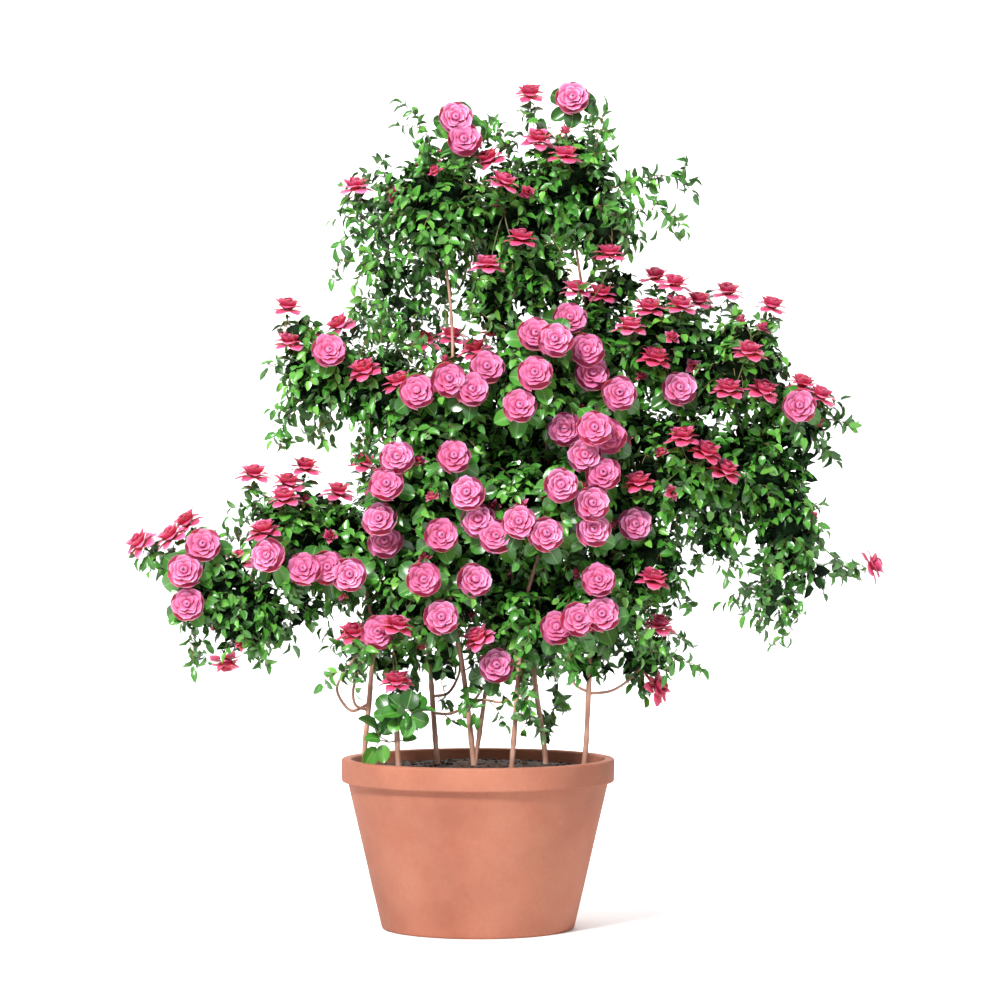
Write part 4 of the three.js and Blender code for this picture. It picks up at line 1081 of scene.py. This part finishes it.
# Each tier: petals, half width in degrees, turn, and the radii and heights at the rows of a petal
FACING_TIERS = [
    (5, 46, 0.0, [3, 32, 42.5, 44.5, 45], [0, 4, 15, 26, 31]),
    (5, 45, 0.5, [3, 22, 32, 37, 41], [3, 23, 34, 37.5, 38.5]),
    (5, 47, 0.2, [3, 15, 23, 27.5, 31.5], [7, 27, 36.5, 39, 40]),
    (4, 56, 0.7, [3, 10, 15.5, 19, 22], [15, 30.5, 38, 40, 40.5]),
    (3, 76, 0.4, [2, 6, 9.5, 7, -1], [20, 31, 37.5, 40, 40.5]),
]
SIDE_TIERS = [
    (5, 37, 0.0, [3, 20, 33, 41, 46], [8, 15, 14, 9, 4]),
    (5, 38, 0.5, [3, 18, 28, 35, 40], [10, 21, 26, 24.5, 21]),
    (5, 38, 0.1, [3, 16, 23, 27.5, 33], [11, 22, 33, 38.5, 41]),
    (4, 48, 0.6, [3, 12, 18, 22, 26], [13, 25, 36, 41, 43.5]),
    (3, 72, 0.2, [2.5, 8, 11, 11, 9], [14, 27, 38, 43, 45]),
]
BUD_TIERS = [
    (4, 40, 0.0, [2, 11, 18, 22], [0, 3, 5, 4]),
    (4, 44, 0.5, [2, 9, 13, 15], [0, 6, 13, 16]),
    (3, 62, 0.1, [2, 6, 7, 5], [1, 8, 18, 22]),
]


def petal_points(blade, half, radii, heights, turn, draw, pointed, soft):
    """Corners of a petal round the bloom's axis, between the radii and heights at its rows."""
    v, across = blade.along, blade.across
    edge = np.abs(across)
    wide = 1 - 0.16 * np.abs(v - 0.75) ** 1.5 / 0.65
    angle = turn + math.radians(half) * across * wide
    length = v * (1 + draw.normal(0, 0.015)) - soft * v**3 * edge**2.2
    tip = pointed * v**4 * np.maximum(1 - 2.2 * edge, 0)
    radius = np.interp(length, blade.rows, radii) + tip * draw.uniform(3, 7)
    height = np.interp(length, blade.rows, heights)
    slope = np.stack([np.gradient(radii, blade.rows), np.gradient(heights, blade.rows)], axis=1)[blade.row]
    slope = slope / np.linalg.norm(slope, axis=1, keepdims=True)
    thick = blade.inner * PETAL_THICKNESS
    radius = radius + 0.09 * radius * across * v + thick * slope[:, 1]
    height = height - thick * slope[:, 0]
    wave = draw.uniform(-1, 1) * np.sin(across * 3.1 + draw.uniform(0, 6)) * v**3
    height = height + wave * soft * 5.5
    radius = radius + draw.uniform(-1, 1) * np.cos(across * 3.1 + draw.uniform(0, 6)) * v**3 * soft * 5
    return np.stack([radius * np.cos(angle), radius * np.sin(angle), height], axis=1)


def rose_variant(seed, blade, tiers, pointed):
    """All the petals of a rose, its axis along +Z and its base at 0. The inmost tier keeps its corners."""
    draw = np.random.default_rng(seed)
    petals = []
    for tier, (count, half, turn, radii, heights) in enumerate(tiers):
        soft = 0.26 if tier < len(tiers) - 1 else 0.0
        aside = draw.normal(0, 0.8, 2) if tier else np.zeros(2)
        for k in range(count):
            where = TURN * (k + turn + draw.normal(0, 0.06)) / count
            radii_here = np.array(radii) * (1 + draw.uniform(-0.05, 0.05))
            heights_here = np.array(heights) * (1 + draw.normal(0, 0.03))
            spread = half * draw.uniform(0.94, 1.06)
            sharp = pointed if tier < 3 else 0.2
            petal = petal_points(blade, spread, radii_here, heights_here, where, draw, sharp, soft)
            petals.append(petal + np.array([*aside, 0]))
    return np.array(petals)


FACING_ROSES = [rose_variant(seed, PETAL, FACING_TIERS, 0.15) for seed in range(5)]
SIDE_ROSES = [rose_variant(seed, PETAL, SIDE_TIERS, 1.0) for seed in range(10, 15)]
BUDS = [rose_variant(seed, BUD_PETAL, BUD_TIERS, 0.6) for seed in range(20, 24)]
# The inmost petals run only through the first part of their colour row, so they stay darker, without the
# painted highlight at the rims
INMOST_PETALS = 3
INMOST_SHADE = 0.55
# Added to the tone of a crimson rose: a bud, or a rose seen from the side, where the crimson is partly painted
# shade
DEEP = 1.0
BUDS_EACH = 2
BUD_TRIES = 40
STALK_POINTS = 11
STALK_RADII = (2.0, 1.4)
# Places along the axis and radii of a rose's calyx and of a bud's
CALYX = ([-9.0, -7.0, -3.5, 0.5, 3.0], [1.8, 3.6, 4.6, 4.2, 2.0], 8)
BUD_CALYX = ([-5.0, -3.5, -1.0, 2.0, 4.0], [1.2, 2.8, 3.6, 3.0, 1.2], 6)
# Places of materials in a truss piece, the petals being 0 inside and 1 outside
PETAL_FACES = (0, 1)
TRUSS_LEAF_FACES = (2, 3)
SEPAL_KIND = 4
STALK_KIND = 5


def add_petals(gather, blade, petals, base, axis, spin, tone):
    """A rose's petals turned to its axis. A tone is the rose's own shade, and DEEP more for a crimson one."""
    side = np.array([math.cos(spin), 0.4, math.sin(spin)])
    x = unit(side - axis * side.dot(axis))
    y = np.cross(axis, x)
    points = petals[..., 0:1] * x + petals[..., 1:2] * y + petals[..., 2:3] * axis + base
    uvs = np.tile(blade.uvs, (len(petals), 1))
    uvs[-INMOST_PETALS * len(blade.uvs) :, 1] *= INMOST_SHADE
    blade.copies(gather, points, tone, PETAL_FACES, uvs)


def add_calyx(gather, base, axis, profile):
    """The small cup under a rose."""
    heights, radii, sides = profile
    add_tubes(gather, base + axis * np.array(heights)[:, None], radii, sides, kind=SEPAL_KIND)


def add_buds(gather, lump, hub, stalks):
    """Half open crimson roses that sit among the leaves near a truss."""
    start = unit((hub - lump.centre) / lump.spread)
    placed = []
    for _ in range(BUD_TRIES):
        direction = unit(start + wiggle(0.5))
        spot = lump.centre + lump.spread * direction * random.uniform(0.84, 0.96)
        near = np.linalg.norm(BLOOM_CENTRES - spot, axis=1).min() < 62
        crowded = any(np.linalg.norm(other - spot) < 55 for other in placed)
        hidden = any(other.reach(spot) < 0.95 for other in all_lumps if other is not lump)
        if near or crowded or hidden or len(placed) == BUDS_EACH:
            continue
        placed.append(spot)
        outward = unit(direction / lump.spread)
        axis = unit(outward * 0.7 + UP * 0.5 + wiggle(0.35))
        bud = BUDS[random.integers(len(BUDS))]
        tone = 0.9 * random.random() + DEEP
        add_petals(gather, BUD_PETAL, bud, spot, axis, random.uniform(0, 6), tone)
        add_calyx(gather, spot, axis, BUD_CALYX)
        root = lump.centre + lump.spread * direction * 0.6
        stalks.append(bezier(root, outward * 20, spot, axis * 15))


def add_sepals(gather, bloom):
    """The five sepals under a rose."""
    turns = bloom.spin + TURN * np.arange(5) / 5
    radial = np.cos(turns)[:, None] * bloom.side + np.sin(turns)[:, None] * bloom.other
    root = bloom.base - bloom.axis * 1.5 + radial * 2.5
    along = radial - 0.25 * bloom.axis
    kinds = (SEPAL_KIND, SEPAL_KIND)
    add_blades(gather, SEPAL, SEPALS, root, along, along * 0 + bloom.axis, 21, MIDDLE_TONE, kinds)


def add_collar(bloom, broad):
    """Leaves round a rose, below it or behind it."""
    if bloom.sideways:
        for way in bloom.ways(3, 0.2):
            base = bloom.base - bloom.axis * random.uniform(14, 30)
            tilted = way + bloom.axis * random.uniform(-0.1, 0.3)
            broad.add(base, tilted, bloom.axis + wiggle(0.2), 40, 0.7)
        return
    for way in bloom.ways(6, 0.3):
        base = bloom.base - bloom.axis * random.uniform(6, 18) + way * random.uniform(10, 24)
        tilted = way + bloom.axis * random.uniform(-0.3, 0.1) + wiggle(0.1)
        up = bloom.axis + wiggle(0.25)
        broad.add(base, tilted, up, random.uniform(48, 62), random.uniform(0.1, 0.75))


def truss(name, spec, materials):
    """The roses of a truss with their stalks, sepals and the leaves below and behind them."""
    gather, broad, small = Gather(), Leaves("broad"), Leaves("small")
    lump = lump_of(spec)
    own = [(index, bloom) for index, bloom in enumerate(blooms) if bloom.truss == name]
    middle = np.mean([bloom.centre for _, bloom in own], axis=0)
    hub = lump.centre + (middle - lump.centre) * (0.9 * CORE_SHARE / lump.reach(middle))
    out = unit(hub - lump.centre)
    stalks = []
    for index, bloom in own:
        roses = SIDE_ROSES if bloom.sideways else FACING_ROSES
        # A rose seen from the side takes the crimson row, which is partly painted shade
        tone = 0.9 * scatter(index * 3 + 1) + (DEEP if bloom.sideways else 0)
        add_petals(gather, PETAL, roses[index % len(roses)], bloom.base, bloom.axis, bloom.spin, tone)
        span = np.linalg.norm(bloom.base - hub)
        stalk = bezier(hub, out * span * 0.3, bloom.base, bloom.axis * min(60, span * 0.5))
        stalks.append(stalk)
        add_sepals(gather, bloom)
        add_calyx(gather, bloom.base, bloom.axis, CALYX)
        if bloom.sideways and span > 50:
            leafy_twig(stalk[3:-1], small, 42, unit(UP + out), step=24, last=False, droop=0.1)
        add_collar(bloom, broad)
    add_buds(gather, lump, hub, stalks)
    broad.put(gather, TRUSS_LEAF_FACES, behind=True)
    small.put(gather, TRUSS_LEAF_FACES)
    add_tubes(gather, stalks, np.linspace(*STALK_RADII, STALK_POINTS), 6, kind=STALK_KIND)
    gather.make("roses_" + name, materials, "petal", ["truss_" + name])


# Materials


def srgb(red, green, blue):
    """A linear colour from 0 to 255 values."""
    shares = (c / 255 for c in (red, green, blue))
    return (*(s / 12.92 if s <= 0.04 else ((s + 0.055) / 1.055) ** 2.4 for s in shares), 1)


class Paint:
    """A material, its shader and what adds nodes to it. An input is a value or another node's output."""

    def __init__(self, name, roughness, **sockets):
        self.material = bpy.data.materials.new(name)
        self.material.use_nodes = True
        self.tree = self.material.node_tree
        self.shader = self.tree.nodes["Principled BSDF"]
        self.shader.inputs["Roughness"].default_value = roughness
        for socket, value in sockets.items():
            self.shader.inputs[socket.replace("_", " ")].default_value = value

    def node(self, kind, inputs=(), **settings):
        """A node with its settings and inputs."""
        made = self.tree.nodes.new(kind)
        for key, value in settings.items():
            setattr(made, key, value)
        for key, value in dict(inputs).items():
            if isinstance(value, bpy.types.NodeSocket):
                self.tree.links.new(value, made.inputs[key])
            else:
                made.inputs[key].default_value = value
        return made

    def ramp(self, factor, stops):
        """A colour ramp over factor, with stops as (place, colour from 0 to 255)."""
        made = self.node("ShaderNodeValToRGB", {"Fac": factor})
        elements = made.color_ramp.elements
        while len(elements) < len(stops):
            elements.new(0.5)
        for element, (spot, colour) in zip(elements, stops):
            element.position = spot
            element.color = srgb(*colour)
        return made.outputs["Color"]

    def maths(self, operation, a, b=0.0, c=0.0):
        return self.node("ShaderNodeMath", {0: a, 1: b, 2: c}, operation=operation).outputs["Value"]

    def times(self, a, b):
        return self.maths("MULTIPLY", a, b)

    def minus(self, a, b):
        return self.maths("SUBTRACT", a, b)

    def mix(self, factor, a, b):
        """The colour a where factor is 0 and b where it is 1."""
        return self.node("ShaderNodeMix", {0: factor, 6: a, 7: b}, data_type="RGBA").outputs[2]

    def noise(self, scale, detail=3.0, vector=None):
        vector = vector or self.node("ShaderNodeTexCoord").outputs["Object"]
        made = self.node("ShaderNodeTexNoise", {"Vector": vector, "Scale": scale, "Detail": detail})
        return made.outputs["Fac"]

    def tone(self):
        return self.node("ShaderNodeAttribute", attribute_name="tone").outputs["Fac"]

    def blade_coordinates(self):
        """How far across a blade, 0 at its rib, and how far along it."""
        uv = self.node("ShaderNodeUVMap", uv_map="Blade")
        split = self.node("ShaderNodeSeparateXYZ", {"Vector": uv.outputs["UV"]})
        return self.maths("ABSOLUTE", self.minus(split.outputs["X"], 0.5)), split.outputs["Y"]

    def colour(self, colour):
        self.tree.links.new(colour, self.shader.inputs["Base Color"])

    def finish(self, colour, height, strength, depth):
        """The material with its colour, and with a relief of a depth in metres."""
        self.colour(colour)
        made = self.node("ShaderNodeBump", {"Height": height, "Strength": strength, "Distance": depth})
        self.tree.links.new(made.outputs["Normal"], self.shader.inputs["Normal"])
        return self.material


BLADE_RELIEF = 0.0006


def leaf_material(name, stops, rib, roughness, strength):
    """A glossy leaf with patches, and with its rib and veins as paler lines."""
    paint = Paint(name, roughness, Coat_Weight=0.5, Coat_Roughness=0.24)
    patch = paint.noise(26.0)
    factor = paint.maths("ADD", paint.times(paint.tone(), 0.72), paint.times(patch, 0.3))
    aside, along = paint.blade_coordinates()
    slant = paint.minus(along, paint.times(aside, 0.9))
    wave = paint.maths("ABSOLUTE", paint.maths("SINE", paint.times(slant, 44.0)))
    vein = paint.maths("SMOOTH_MIN", 1.0, paint.maths("POWER", wave, 0.4), 0.1)
    middle = paint.maths("LESS_THAN", aside, 0.035)
    lines = paint.maths("MAXIMUM", middle, paint.times(paint.minus(1.0, vein), 0.45))
    colour = paint.mix(paint.times(lines, 0.4), paint.ramp(factor, stops), srgb(*rib))
    return paint.finish(colour, paint.minus(patch, lines), strength, BLADE_RELIEF)


def petal_material(name, light, deep):
    """Petals that go from their base to their rim through a light or a deep row of colours, with streaks. The
    pale colour at the rim is a painted highlight.
    """
    paint = Paint(name, 0.5, Subsurface_Weight=0.45, Subsurface_Scale=0.014)
    aside, along = paint.blade_coordinates()
    tone = paint.tone()
    # Crimson for buds and side roses; on the side roses it is partly painted shade
    is_deep = paint.maths("GREATER_THAN", tone, 0.95)
    own = paint.minus(tone, is_deep)
    where = {"X": paint.times(aside, 9.0), "Y": along, "Z": paint.times(tone, 40.0)}
    streak = paint.noise(3.0, 4.0, paint.node("ShaderNodeCombineXYZ", where).outputs["Vector"])
    spread = paint.times(paint.minus(streak, 0.5), 0.35)
    shift = paint.times(paint.minus(own, 0.5), 0.2)
    factor = paint.maths("ADD", along, paint.maths("ADD", spread, shift))
    colours = [paint.ramp(factor, list(zip((0.1, 0.55, 0.9, 1.0), row))) for row in (light, deep)]
    return paint.finish(paint.mix(is_deep, *colours), streak, 0.25, BLADE_RELIEF)


def speckled(name, stops, spots, grain, strength, depth, roughness, **sockets):
    """A spotted surface. spots and grain are the scale and detail of its colours and of its relief."""
    paint = Paint(name, roughness, **sockets)
    colour = paint.ramp(paint.noise(*spots), stops)
    return paint.finish(colour, paint.noise(*grain), strength, depth)


def stem_material(name, stops, scale):
    return speckled(name, stops, (scale, 5.0), (scale * 4, 4.0), 0.5, 0.0015, 0.55)


# Near black to pale green over a leaf's tone; the dark end, for leaves further in, is partly painted shade
LEAF_TOP = leaf_material(
    "leaf_top",
    [(0.04, (6, 26, 8)), (0.3, (28, 82, 20)), (0.62, (62, 134, 38)), (0.95, (122, 184, 74))],
    (140, 190, 104), 0.3, 0.35,
)
LEAF_UNDER = leaf_material(
    "leaf_under",
    [(0.1, (34, 68, 34)), (0.5, (66, 112, 56)), (0.95, (108, 154, 88))],
    (140, 176, 112), 0.55, 0.3,
)
# CRIMSON is the row for buds and for roses seen from the side; on those roses it is partly painted shade, as
# the same roses facing the viewer are pink
CRIMSON = [(142, 14, 42), (196, 46, 86), (224, 78, 124), (240, 122, 164)]
# PINK is the inside and ROSE the outside of a petal. The pale last colour of each row, at the rims, is a
# painted highlight; ROSE is also kept lighter than PINK partly as painted light on the outer petals' shaded
# faces
PINK = [(216, 92, 138), (218, 102, 148), (222, 110, 156), (236, 146, 186)]
ROSE = [(232, 98, 146), (240, 116, 162), (245, 136, 182), (250, 172, 206)]
PETAL_IN = petal_material("petal_inside", PINK, CRIMSON)
PETAL_OUT = petal_material("petal_outside", ROSE, CRIMSON)
# Near-black, dull and rough: painted shade for the lumps' cores and inner leaves
PAINTED_SHADE_STOPS = [(0.35, (6, 18, 5)), (0.65, (22, 52, 18))]
PAINTED_SHADE_LEAF = speckled(
    "painted_shade_leaf", PAINTED_SHADE_STOPS, (40.0, 6.0), (60.0, 5.0), 1.0, 0.01, 0.85, Specular_IOR_Level=0.2
)
TWIG = stem_material("twig", [(0.3, (96, 92, 48)), (0.7, (140, 120, 76))], 30.0)
SEPAL_GREEN = stem_material("sepal", [(0.3, (60, 104, 44)), (0.7, (98, 146, 66))], 60.0)
STALK = stem_material("stalk", [(0.3, (66, 84, 38)), (0.7, (104, 92, 54))], 40.0)
BARK_STOPS = [(0.25, (136, 94, 78)), (0.5, (178, 132, 112)), (0.75, (206, 166, 148))]
BARK = stem_material("bark", BARK_STOPS, 14.0)


def clay_material():
    """Fired clay, cloudy, with pale patches and darker grains."""
    paint = Paint("clay", 0.82)
    stops = [(0.3, (146, 80, 58)), (0.5, (170, 98, 74)), (0.72, (190, 120, 94))]
    colour = paint.ramp(paint.noise(3.5, 6.0), stops)
    colour = paint.mix(paint.times(paint.noise(9.0, 8.0), 0.35), colour, srgb(206, 160, 134))
    grain = paint.noise(90.0, 4.0)
    colour = paint.mix(paint.times(grain, 0.3), colour, srgb(140, 72, 50))
    return paint.finish(colour, grain, 0.35, 0.001)


def soil_material():
    """Damp soil of light and dark crumbs, with darker patches."""
    paint = Paint("soil", 0.95)
    fine = paint.noise(120.0, 8.0)
    colour = paint.ramp(fine, [(0.3, (34, 22, 15)), (0.55, (66, 46, 33)), (0.8, (104, 78, 58))])
    colour = paint.mix(paint.times(paint.noise(14.0, 4.0), 0.4), colour, srgb(40, 28, 20))
    return paint.finish(colour, fine, 1.0, 0.004)


# The pieces

for foliage_name, spec in FOLIAGE.items():
    foliage(foliage_name, spec, [LEAF_TOP, LEAF_UNDER, PAINTED_SHADE_LEAF, TWIG])

for truss_name, spec in TRUSSES.items():
    truss(truss_name, spec, [PETAL_IN, PETAL_OUT, LEAF_TOP, LEAF_UNDER, SEPAL_GREEN, STALK])

SIDE_STEM_RADIUS = CANE_RADIUS - 1.8
SHORT_STEM_TIP = CANE_RADIUS - 1.5
CANE_TWIG_RADII = (4.2, 3.2)


def canes():
    """The canes with uneven bark and knots, and their thin twigs."""
    for name, spec in CANES.items():
        gather = Gather()
        for index, control in enumerate(stem_paths(spec)):
            path = smooth_path(control, 14)
            start = CANE_RADIUS if index == 0 else SIDE_STEM_RADIUS
            end = CANE_TIP_RADIUS if len(control) > 3 else SHORT_STEM_TIP
            radii = np.linspace(start, end, len(path)) * (1 + 0.05 * random.normal(size=len(path)))
            radii[7::9] *= 1.14
            add_tubes(gather, path, radii, 12)
        for twig in spec["twigs"]:
            path = smooth_path(places(twig), 9)
            add_tubes(gather, path, np.linspace(*CANE_TWIG_RADII, len(path)), 8)
        gather.make("stem_" + name, [BARK], "bark", [name])


def lathe(gather, profile, sides):
    """A closed ring turned round the axis from a closed profile of (radius, height)."""
    profile = np.array(profile, float)
    turn = TURN * np.arange(sides) / sides
    circle = np.stack([np.cos(turn), np.sin(turn)], axis=1)
    k = len(profile)
    points = np.empty((sides, k, 3))
    points[..., :2] = profile[None, :, :1] * circle[:, None]
    points[..., 2] = profile[None, :, 1]
    faces = []
    for s in range(sides):
        n = (s + 1) % sides
        for j in range(k):
            i = (j + 1) % k
            a, b, c, d = s * k + j, n * k + j, n * k + i, s * k + i
            faces += [(a, b, c), (a, c, d)]
    gather.add(points.reshape(-1, 3), faces, np.zeros((sides * k, 2)), MIDDLE_TONE)


def rounded(corners, radius):
    """An outline with its corners rounded. corners are (radius, height, how round as a share)."""
    out = []
    count = len(corners)
    for k in range(count):
        before, here, after = (np.array(corners[(k + d) % count][:2], float) for d in (-1, 0, 1))
        size = radius * corners[k][2]
        if size == 0:
            out.append(here)
            continue
        a = here + unit(before - here) * size
        b = here + unit(after - here) * size
        for t in np.linspace(0, 1, 5):
            out.append((1 - t) ** 2 * a + 2 * t * (1 - t) * here + t**2 * b)
    return out


def pot():
    """The pot with its rim band, turned round a small drain hole."""
    gather = Gather()
    band = POT_HEIGHT - RIM_BAND
    inner = POT_RIM_RADIUS - WALL
    floor = WALL + 4
    outline = [
        (2, 0, 0), (POT_FOOT_RADIUS, 0, 1), (POT_RIM_RADIUS - 16, band, 0.3), (POT_RIM_RADIUS - 1, band, 0.8),
        (POT_RIM_RADIUS, POT_HEIGHT, 1), (inner - 8, POT_HEIGHT, 1), (inner - 16, band, 0.3),
        (POT_FOOT_RADIUS - WALL, floor, 0.5), (2, floor, 0),
    ]
    lathe(gather, rounded(outline, 7), 128)
    gather.make("clay_pot", [clay_material()], "clay", ["pot"])


SOIL_EDGE = POT_RIM_RADIUS - WALL - 13
SOIL_TOP = POT_HEIGHT - SOIL_BELOW_RIM
SOIL_UNDER = SOIL_TOP - 22
SOIL_RINGS = 30
SOIL_SIDES = 100
DOME = 12
EDGE_SINK = 2.0
CLODS = 260


def soil():
    """Crumbly soil with a domed top, closed under it."""
    gather = Gather()
    edge, rings, sides = SOIL_EDGE, SOIL_RINGS, SOIL_SIDES
    phases = np.random.default_rng(4).uniform(0, 6.3, (24, 3))[:, 0]
    waves = np.random.default_rng(8).uniform(-0.12, 0.12, (24, 2))
    angles = [TURN * s / sides for s in range(sides)]
    points, uvs, faces = [], [], []
    for r in range(rings):
        for angle in angles:
            radius = edge * (r + 0.5) / (rings - 0.5)
            x, y = radius * math.cos(angle), radius * math.sin(angle)
            rough = np.sin(waves[:, 0] * x + waves[:, 1] * y + phases).sum() * 0.7
            crumb = random.uniform(-1.4, 1.8)
            fall = DOME * (1 - (radius / edge) ** 2)
            points.append((x, y, SOIL_TOP + fall + rough + crumb - (EDGE_SINK if r == rings - 1 else 0)))
            uvs.append((x * UV_PER_MM, y * UV_PER_MM))
    centre, low = len(points), len(points) + 1
    bottom, foot = low + sides, edge * 0.98
    points.append((0, 0, SOIL_TOP + DOME))
    points += [(foot * math.cos(angle), foot * math.sin(angle), SOIL_UNDER) for angle in angles]
    points.append((0, 0, SOIL_UNDER))
    uvs += [(0, 0)] * (sides + 2)
    for s in range(sides):
        n = (s + 1) % sides
        faces.append((centre, s, n))
        for r in range(rings - 1):
            a, b = r * sides + s, r * sides + n
            faces += [(a, a + sides, b + sides), (a, b + sides, b)]
        a, b = (rings - 1) * sides + s, (rings - 1) * sides + n
        faces += [(a, low + s, low + n), (a, low + n, b), (bottom, low + n, low + s)]
    gather.add(points, faces, uvs, MIDDLE_TONE)
    clods = np.random.default_rng(21)
    for _ in range(CLODS):
        angle, share = clods.uniform(0, TURN), math.sqrt(clods.uniform(0, 0.96))
        size = clods.uniform(2.0, 6.5)
        x, y = share * edge * math.cos(angle), share * edge * math.sin(angle)
        spot = np.array([x, y, SOIL_TOP + DOME * (1 - share**2) + size * 0.3])
        turn = unit(clods.normal(size=3))
        path = spot + turn * size * np.array([[-1.0], [-0.6], [0.1], [0.7], [1.0]])
        radii = size * np.array([0.25, 0.8, 1.0, 0.7, 0.25]) * clods.uniform(0.7, 1.1, 5)
        add_tubes(gather, path, radii, 6)
    gather.make("soil_top", [soil_material()], "soil", ["soil"])


canes()
pot()
soil()

# The floor, the lights and the camera, in metres

FLOOR_NEAR, FLOOR_FAR, FLOOR_HALF_WIDTH = -11.0, 8.0, 12.0
WALL_CURVE, WALL_HEIGHT = 3, 12.0
# Each light: name, place, target, width and power
LIGHTS = [
    ("key", (-2.2, -4.6, 5.2), (0, 0, 1.2), 1.3, 700),
    ("fill", (4.5, -4.5, 2.4), (0, 0, 1.1), 3.5, 60),
    ("back", (1.5, 4.5, 4.5), (0, 0, 1.2), 3.0, 120),
    ("backdrop", (0, 3.0, 5.5), (0, 8.0, 1.5), 5.0, 620),
    ("backdrop_far", (0, 7.0, 6.0), (0, 11.0, 2.5), 5.0, 350),
]
WORLD_LIGHT = 0.26
CAMERA_LENS = 120
SENSOR = 36
FRAME_WIDTH = 2.6
CAMERA_X = 0.057
CAMERA_Z = 1.11
VIEW_LIMIT = 60


def stage_floor():
    """A pale floor that curves up behind."""
    profile = [(FLOOR_NEAR, 0.0), (FLOOR_FAR, 0.0)]
    for a in np.linspace(0.1, math.pi / 2, 12):
        profile.append((FLOOR_FAR + WALL_CURVE * math.sin(a), WALL_CURVE - WALL_CURVE * math.cos(a)))
    profile.append((FLOOR_FAR + WALL_CURVE, WALL_HEIGHT))
    points = [(x, y, z) for x in (-FLOOR_HALF_WIDTH, FLOOR_HALF_WIDTH) for y, z in profile]
    count = len(profile)
    faces = [(k, count + k, count + k + 1, k + 1) for k in range(count - 1)]
    mesh = bpy.data.meshes.new("floor")
    mesh.from_pydata(points, [], faces)
    mesh.polygons.foreach_set("use_smooth", [True] * len(faces))
    paint = Paint("floor", 0.9)
    paint.colour(paint.ramp(paint.noise(0.6), [(0.3, (246, 246, 246)), (0.7, (250, 250, 250))]))
    mesh.materials.append(paint.material)
    floor = bpy.data.objects.new("floor", mesh)
    bpy.context.scene.collection.objects.link(floor)
    floor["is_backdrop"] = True


def area_light(name, location, target, size, power):
    """A square light that points at its target, with its top upwards."""
    data = bpy.data.lights.new(name, "AREA")
    data.shape = "SQUARE"
    data.size = size
    data.energy = power
    lamp = bpy.data.objects.new(name, data)
    lamp.location = location
    x, y, z = (b - a for a, b in zip(location, target))
    lamp.rotation_euler = (math.atan2(math.hypot(x, y), -z), 0, math.atan2(y, x) - math.pi / 2)
    bpy.context.scene.collection.objects.link(lamp)


stage_floor()
world = bpy.data.worlds.new("studio")
bpy.context.scene.world = world
world.use_nodes = True
background = world.node_tree.nodes["Background"]
background.inputs["Color"].default_value = (1, 1, 1, 1)
background.inputs["Strength"].default_value = WORLD_LIGHT
for light in LIGHTS:
    area_light(*light)

camera_data = bpy.data.cameras.new("camera")
camera_data.lens = CAMERA_LENS
camera_data.sensor_width = SENSOR
camera_data.sensor_fit = "HORIZONTAL"
camera_data.clip_end = VIEW_LIMIT
camera = bpy.data.objects.new("camera", camera_data)
camera.location = (CAMERA_X, -FRAME_WIDTH * CAMERA_LENS / SENSOR, CAMERA_Z)
camera.rotation_euler = (math.pi / 2, 0, 0)
bpy.context.scene.collection.objects.link(camera)
bpy.context.scene.camera = camera
bpy.context.scene.view_settings.view_transform = "Standard"

visual_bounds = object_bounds()
boxes = {"cad": cad_bounds, "visual": visual_bounds}
{key: [[float(c) for c in corner] for corner in box] for key, box in boxes.items()}
